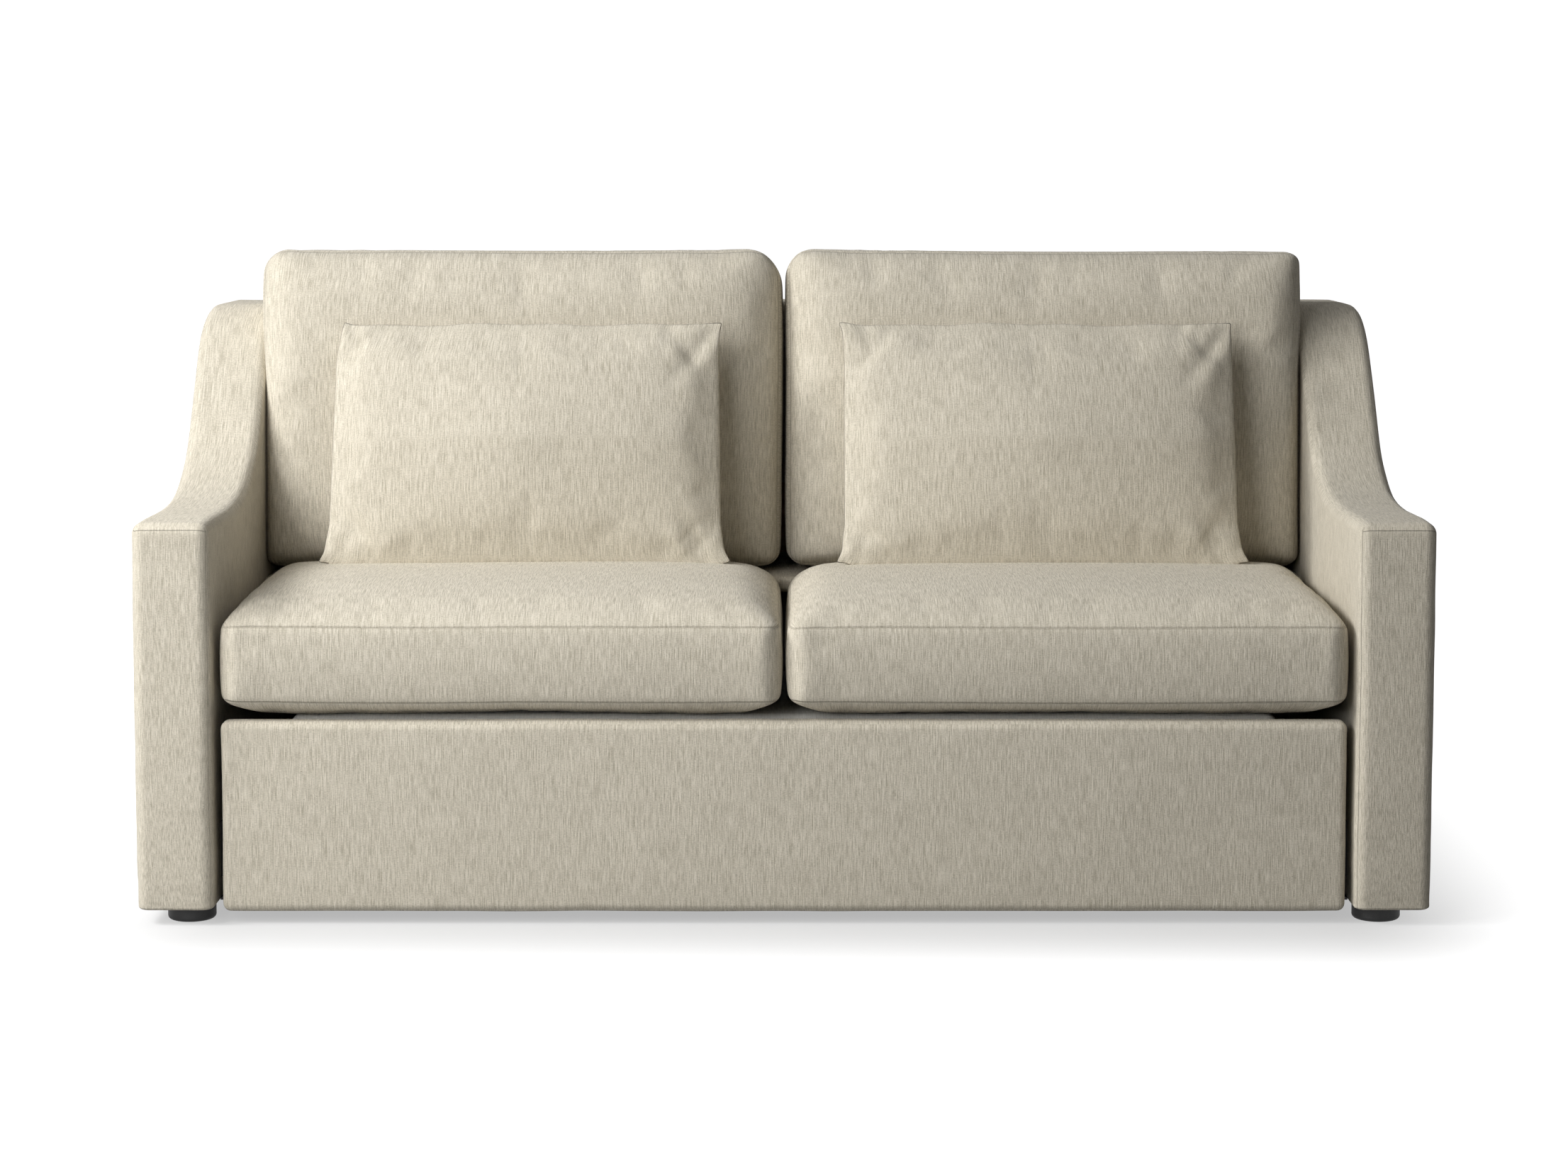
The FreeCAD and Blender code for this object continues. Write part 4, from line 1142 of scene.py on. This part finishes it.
class SOFA_OT_lumbar_pillows(bpy.types.Operator):
    """Knife-edge lumbar pillows"""
    bl_idname = "sofa.lumbar_pillows"
    bl_label = "Lumbar pillows"

    def execute(self, context):
        shape = context.scene.sofa_shape
        for side, sign in SIDES:
            node = "lumbar_pillow_" + side
            turn, lo, hi = leaning(node, 17.0)
            centre = (lo + hi) / 2
            half = (hi.z - lo.z) / 2 - 0.006
            cover = Cover((hi.x - lo.x) / 2, (hi.y - lo.y) / 2, (0.012,) * 4, (centre.z, centre.z),
                          (-half, half), shape.cushion_step * 0.8, 0.010, (0.20, 0.20, 0.16, 0.16), 0.012)
            obj = sew(cover, "lumbar_cover_" + side, centre, 0.003, 6.0, sign + 13)
            settle(obj, shape.cap * 0.5, shape.pressure, shape.frames, 0.02, 0.05)
            fit(obj, lo, hi)
            trim_sides(obj, lo, hi, PILLOW_SIDES[side])
            for end_x, end_y, offset, *press in PILLOW_FOLDS:
                fold(obj, ((lo, hi)[end_x].x + offset[0], (lo, hi)[end_y].y + offset[1]), *press)
            crease(obj, 0.0, lo - Vector((0.03, 0.010, 0)), hi + Vector((0.03, 0, 0)))
            place(obj, turn)
            dress(obj, "pillow_" + side, node)
        return {"FINISHED"}


class SOFA_OT_mattress(bpy.types.Operator):
    """Four mattress lengths and the cloth across their two inner folds"""
    bl_idname = "sofa.mattress"
    bl_label = "Mattress"

    def execute(self, context):
        material = ticking()
        for part in ("head", "body", "mid", "foot"):
            node = "mattress_" + part
            lo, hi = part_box(node)
            obj = soft_block("mattress_cover_" + part, list(lo), list(hi), 0.018, 0.03)
            finish_piece(obj, part + "_section", [node], material)
        self.fold_strip("mattress_fold_head", "head_section", "body_section", 0.128, 0.054, material)
        self.fold_strip("mattress_fold_mid", "mid_section", "body_section", 0.129, 0.203, material)
        return {"FINISHED"}

    def fold_strip(self, name, a, b, high, low, material, rows=24, half_width=0.748, y=-0.345,
                   half_thick=0.0008):
        """Strip of cloth from one height to the other. The bodies a and b are not used."""
        verts = []
        for row in range(rows + 1):
            z = high + (low - high) * row / rows
            for side_y in (y - half_thick, y + half_thick):
                verts += [(-half_width, side_y, z), (half_width, side_y, z)]
        faces = []
        for k in range(0, 4 * rows, 4):
            faces += [(k, k + 4, k + 5, k + 1), (k + 2, k + 3, k + 7, k + 6), (k, k + 2, k + 6, k + 4),
                      (k + 1, k + 5, k + 7, k + 3)]
        k = 4 * rows
        faces += [(0, 1, 3, 2), (k, k + 2, k + 3, k + 1)]
        uvs = [(verts[v][0], verts[v][2]) for ring in faces for v in ring]
        obj = new_object(name, verts, faces, uvs, [0.0] * len(verts))
        obj.data.materials.append(material)
        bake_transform(obj)


def loose_parts(node):
    """(lowest, highest) corner of each separate solid in a node."""
    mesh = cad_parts[node].data
    root = list(range(len(mesh.vertices)))

    def find(i):
        while root[i] != i:
            root[i] = root[root[i]]
            i = root[i]
        return i

    seen = {}
    for i, vertex in enumerate(mesh.vertices):
        key = tuple(round(c, 5) for c in vertex.co)
        if key in seen:
            root[find(i)] = find(seen[key])
        seen[key] = i
    for edge in mesh.edges:
        root[find(edge.vertices[0])] = find(edge.vertices[1])
    points = {}
    for i, vertex in enumerate(mesh.vertices):
        points.setdefault(find(i), []).append(vertex.co)
    return [extent(group) for group in points.values()]


class SOFA_OT_deck_springs(bpy.types.Operator):
    """Coil springs that stretch the deck cloth across each frame"""
    bl_idname = "sofa.deck_springs"
    bl_label = "Deck springs"

    def execute(self, context):
        for part in ("head", "mid", "foot"):
            node = part + "_deck_springs"
            verts = []
            faces = []
            springs = sorted(loose_parts(node), key=lambda pair: (round(pair[0].x, 4), round(pair[0].y, 4)))
            for lo, hi in springs:
                self.coil(lo, hi, verts, faces)
            obj = new_object(part + "_deck_coils", verts, faces)
            finish_piece(obj, part + "_section", [node], zinc())
        return {"FINISHED"}

    def coil(self, lo, hi, verts, faces, thick=0.0006, turns=16, sides=8):
        """One helical spring that fills the solid's box, as a four-sided wire."""
        along = max(range(3), key=lambda a: hi[a] - lo[a])
        across = [a for a in range(3) if a != along]
        radius = min(hi[a] - lo[a] for a in across) / 2 - thick
        centre = (lo + hi) / 2
        steps = turns * sides
        base = len(verts)
        length = hi[along] - lo[along] - 2 * thick
        for k in range(steps + 1):
            angle = 2 * math.pi * k / sides
            for corner in range(4):
                bend = math.pi / 2 * corner
                reach = radius + thick * math.cos(bend)
                point = Vector(centre)
                point[along] = lo[along] + thick + length * k / steps + thick * math.sin(bend)
                point[across[0]] += reach * math.cos(angle)
                point[across[1]] += reach * math.sin(angle)
                verts.append(point)
        for k in range(steps):
            for corner in range(4):
                a = base + 4 * k + corner
                b = base + 4 * k + (corner + 1) % 4
                faces.append((a, b, b + 4, a + 4))
        end = base + 4 * steps
        faces += [(base + 3, base + 2, base + 1, base), (end, end + 1, end + 2, end + 3)]


class SOFA_OT_mechanism(bpy.types.Operator):
    """Powder-coated links, rails, frames and legs with zinc pins and bolts"""
    bl_idname = "sofa.mechanism"
    bl_label = "Bed mechanism"

    def execute(self, context):
        paint_nodes(frame_paint(), "mechanism_rails", "front_lift_links", "rear_lift_links", "head_frame",
                    "body_frame", "mid_frame", "foot_frame", "mid_legs", "foot_legs", "front_stretcher")
        paint_nodes(zinc(), "link_root_pins", "rail_bolts", "foot_bolts", "panel_screws", "head_hinge_pins",
                    "body_hinge_pins", "mid_hinge_pins")
        paint_nodes(rubber(), "mid_leg_glides", "foot_leg_glides")
        paint_nodes(deck_cloth(), "head_deck", "mid_deck", "foot_deck")
        paint_nodes(webbing(), "pull_strap", "dust_cover")
        return {"FINISHED"}


class SOFA_OT_timber(bpy.types.Operator):
    """Ply frames, boards and cleats under the upholstery, and packers painted black as shade in the gaps
    beside the front panel
    """
    bl_idname = "sofa.timber"
    bl_label = "Timber frame"

    def execute(self, context):
        paint_nodes(ply(), "arm_frame_left", "arm_frame_right", "back_frame", "ledge_cleats", "panel_board",
                    "body_deck")
        # Painted shade: the packers are black so that the gaps beside the front panel read dark.
        paint_nodes(gap_shade_ply(), "rail_packers")
        return {"FINISHED"}


class SOFA_OT_feet(bpy.types.Operator):
    """Low round black feet"""
    bl_idname = "sofa.feet"
    bl_label = "Feet"

    def execute(self, context):
        paint_nodes(black_plastic(), "feet")
        return {"FINISHED"}


OPERATORS = (SOFA_OT_stage, SOFA_OT_arms, SOFA_OT_back, SOFA_OT_front_panel, SOFA_OT_seat_cushions,
             SOFA_OT_back_cushions, SOFA_OT_lumbar_pillows, SOFA_OT_mattress, SOFA_OT_deck_springs,
             SOFA_OT_mechanism, SOFA_OT_timber, SOFA_OT_feet)


class SOFA_PT_panel(bpy.types.Panel):
    """Buttons for the sofa's pieces, and their sizes and colours"""
    bl_idname = "SOFA_PT_panel"
    bl_label = "Sleeper sofa"
    bl_space_type = "VIEW_3D"
    bl_region_type = "UI"
    bl_category = "Sofa"

    def draw(self, context):
        for name in SETTINGS:
            group = getattr(context.scene, name)
            for key in group.bl_rna.properties.keys():
                if key not in ("rna_type", "name"):
                    self.layout.prop(group, key)
        for operator in OPERATORS:
            self.layout.operator(operator.bl_idname)


SETTINGS = {"sofa_fabric": SofaFabric, "sofa_shape": SofaShape, "sofa_stage": SofaStage}
CLASSES = (*SETTINGS.values(), *OPERATORS, SOFA_PT_panel)


def register():
    noise.seed_set(NOISE_SEED)
    for item in CLASSES:
        bpy.utils.register_class(item)
    for name, group in SETTINGS.items():
        setattr(bpy.types.Scene, name, bpy.props.PointerProperty(type=group))


def unregister():
    for name in SETTINGS:
        delattr(bpy.types.Scene, name)
    for item in reversed(CLASSES):
        bpy.utils.unregister_class(item)


def main():
    register()
    bpy.ops.sofa.stage()
    bpy.ops.sofa.arms()
    bpy.ops.sofa.back()
    bpy.ops.sofa.front_panel()
    bpy.ops.sofa.seat_cushions()
    bpy.ops.sofa.back_cushions()
    bpy.ops.sofa.lumbar_pillows()
    bpy.ops.sofa.mattress()
    bpy.ops.sofa.deck_springs()
    bpy.ops.sofa.mechanism()
    bpy.ops.sofa.timber()
    bpy.ops.sofa.feet()


if __name__ == "__main__":
    main()
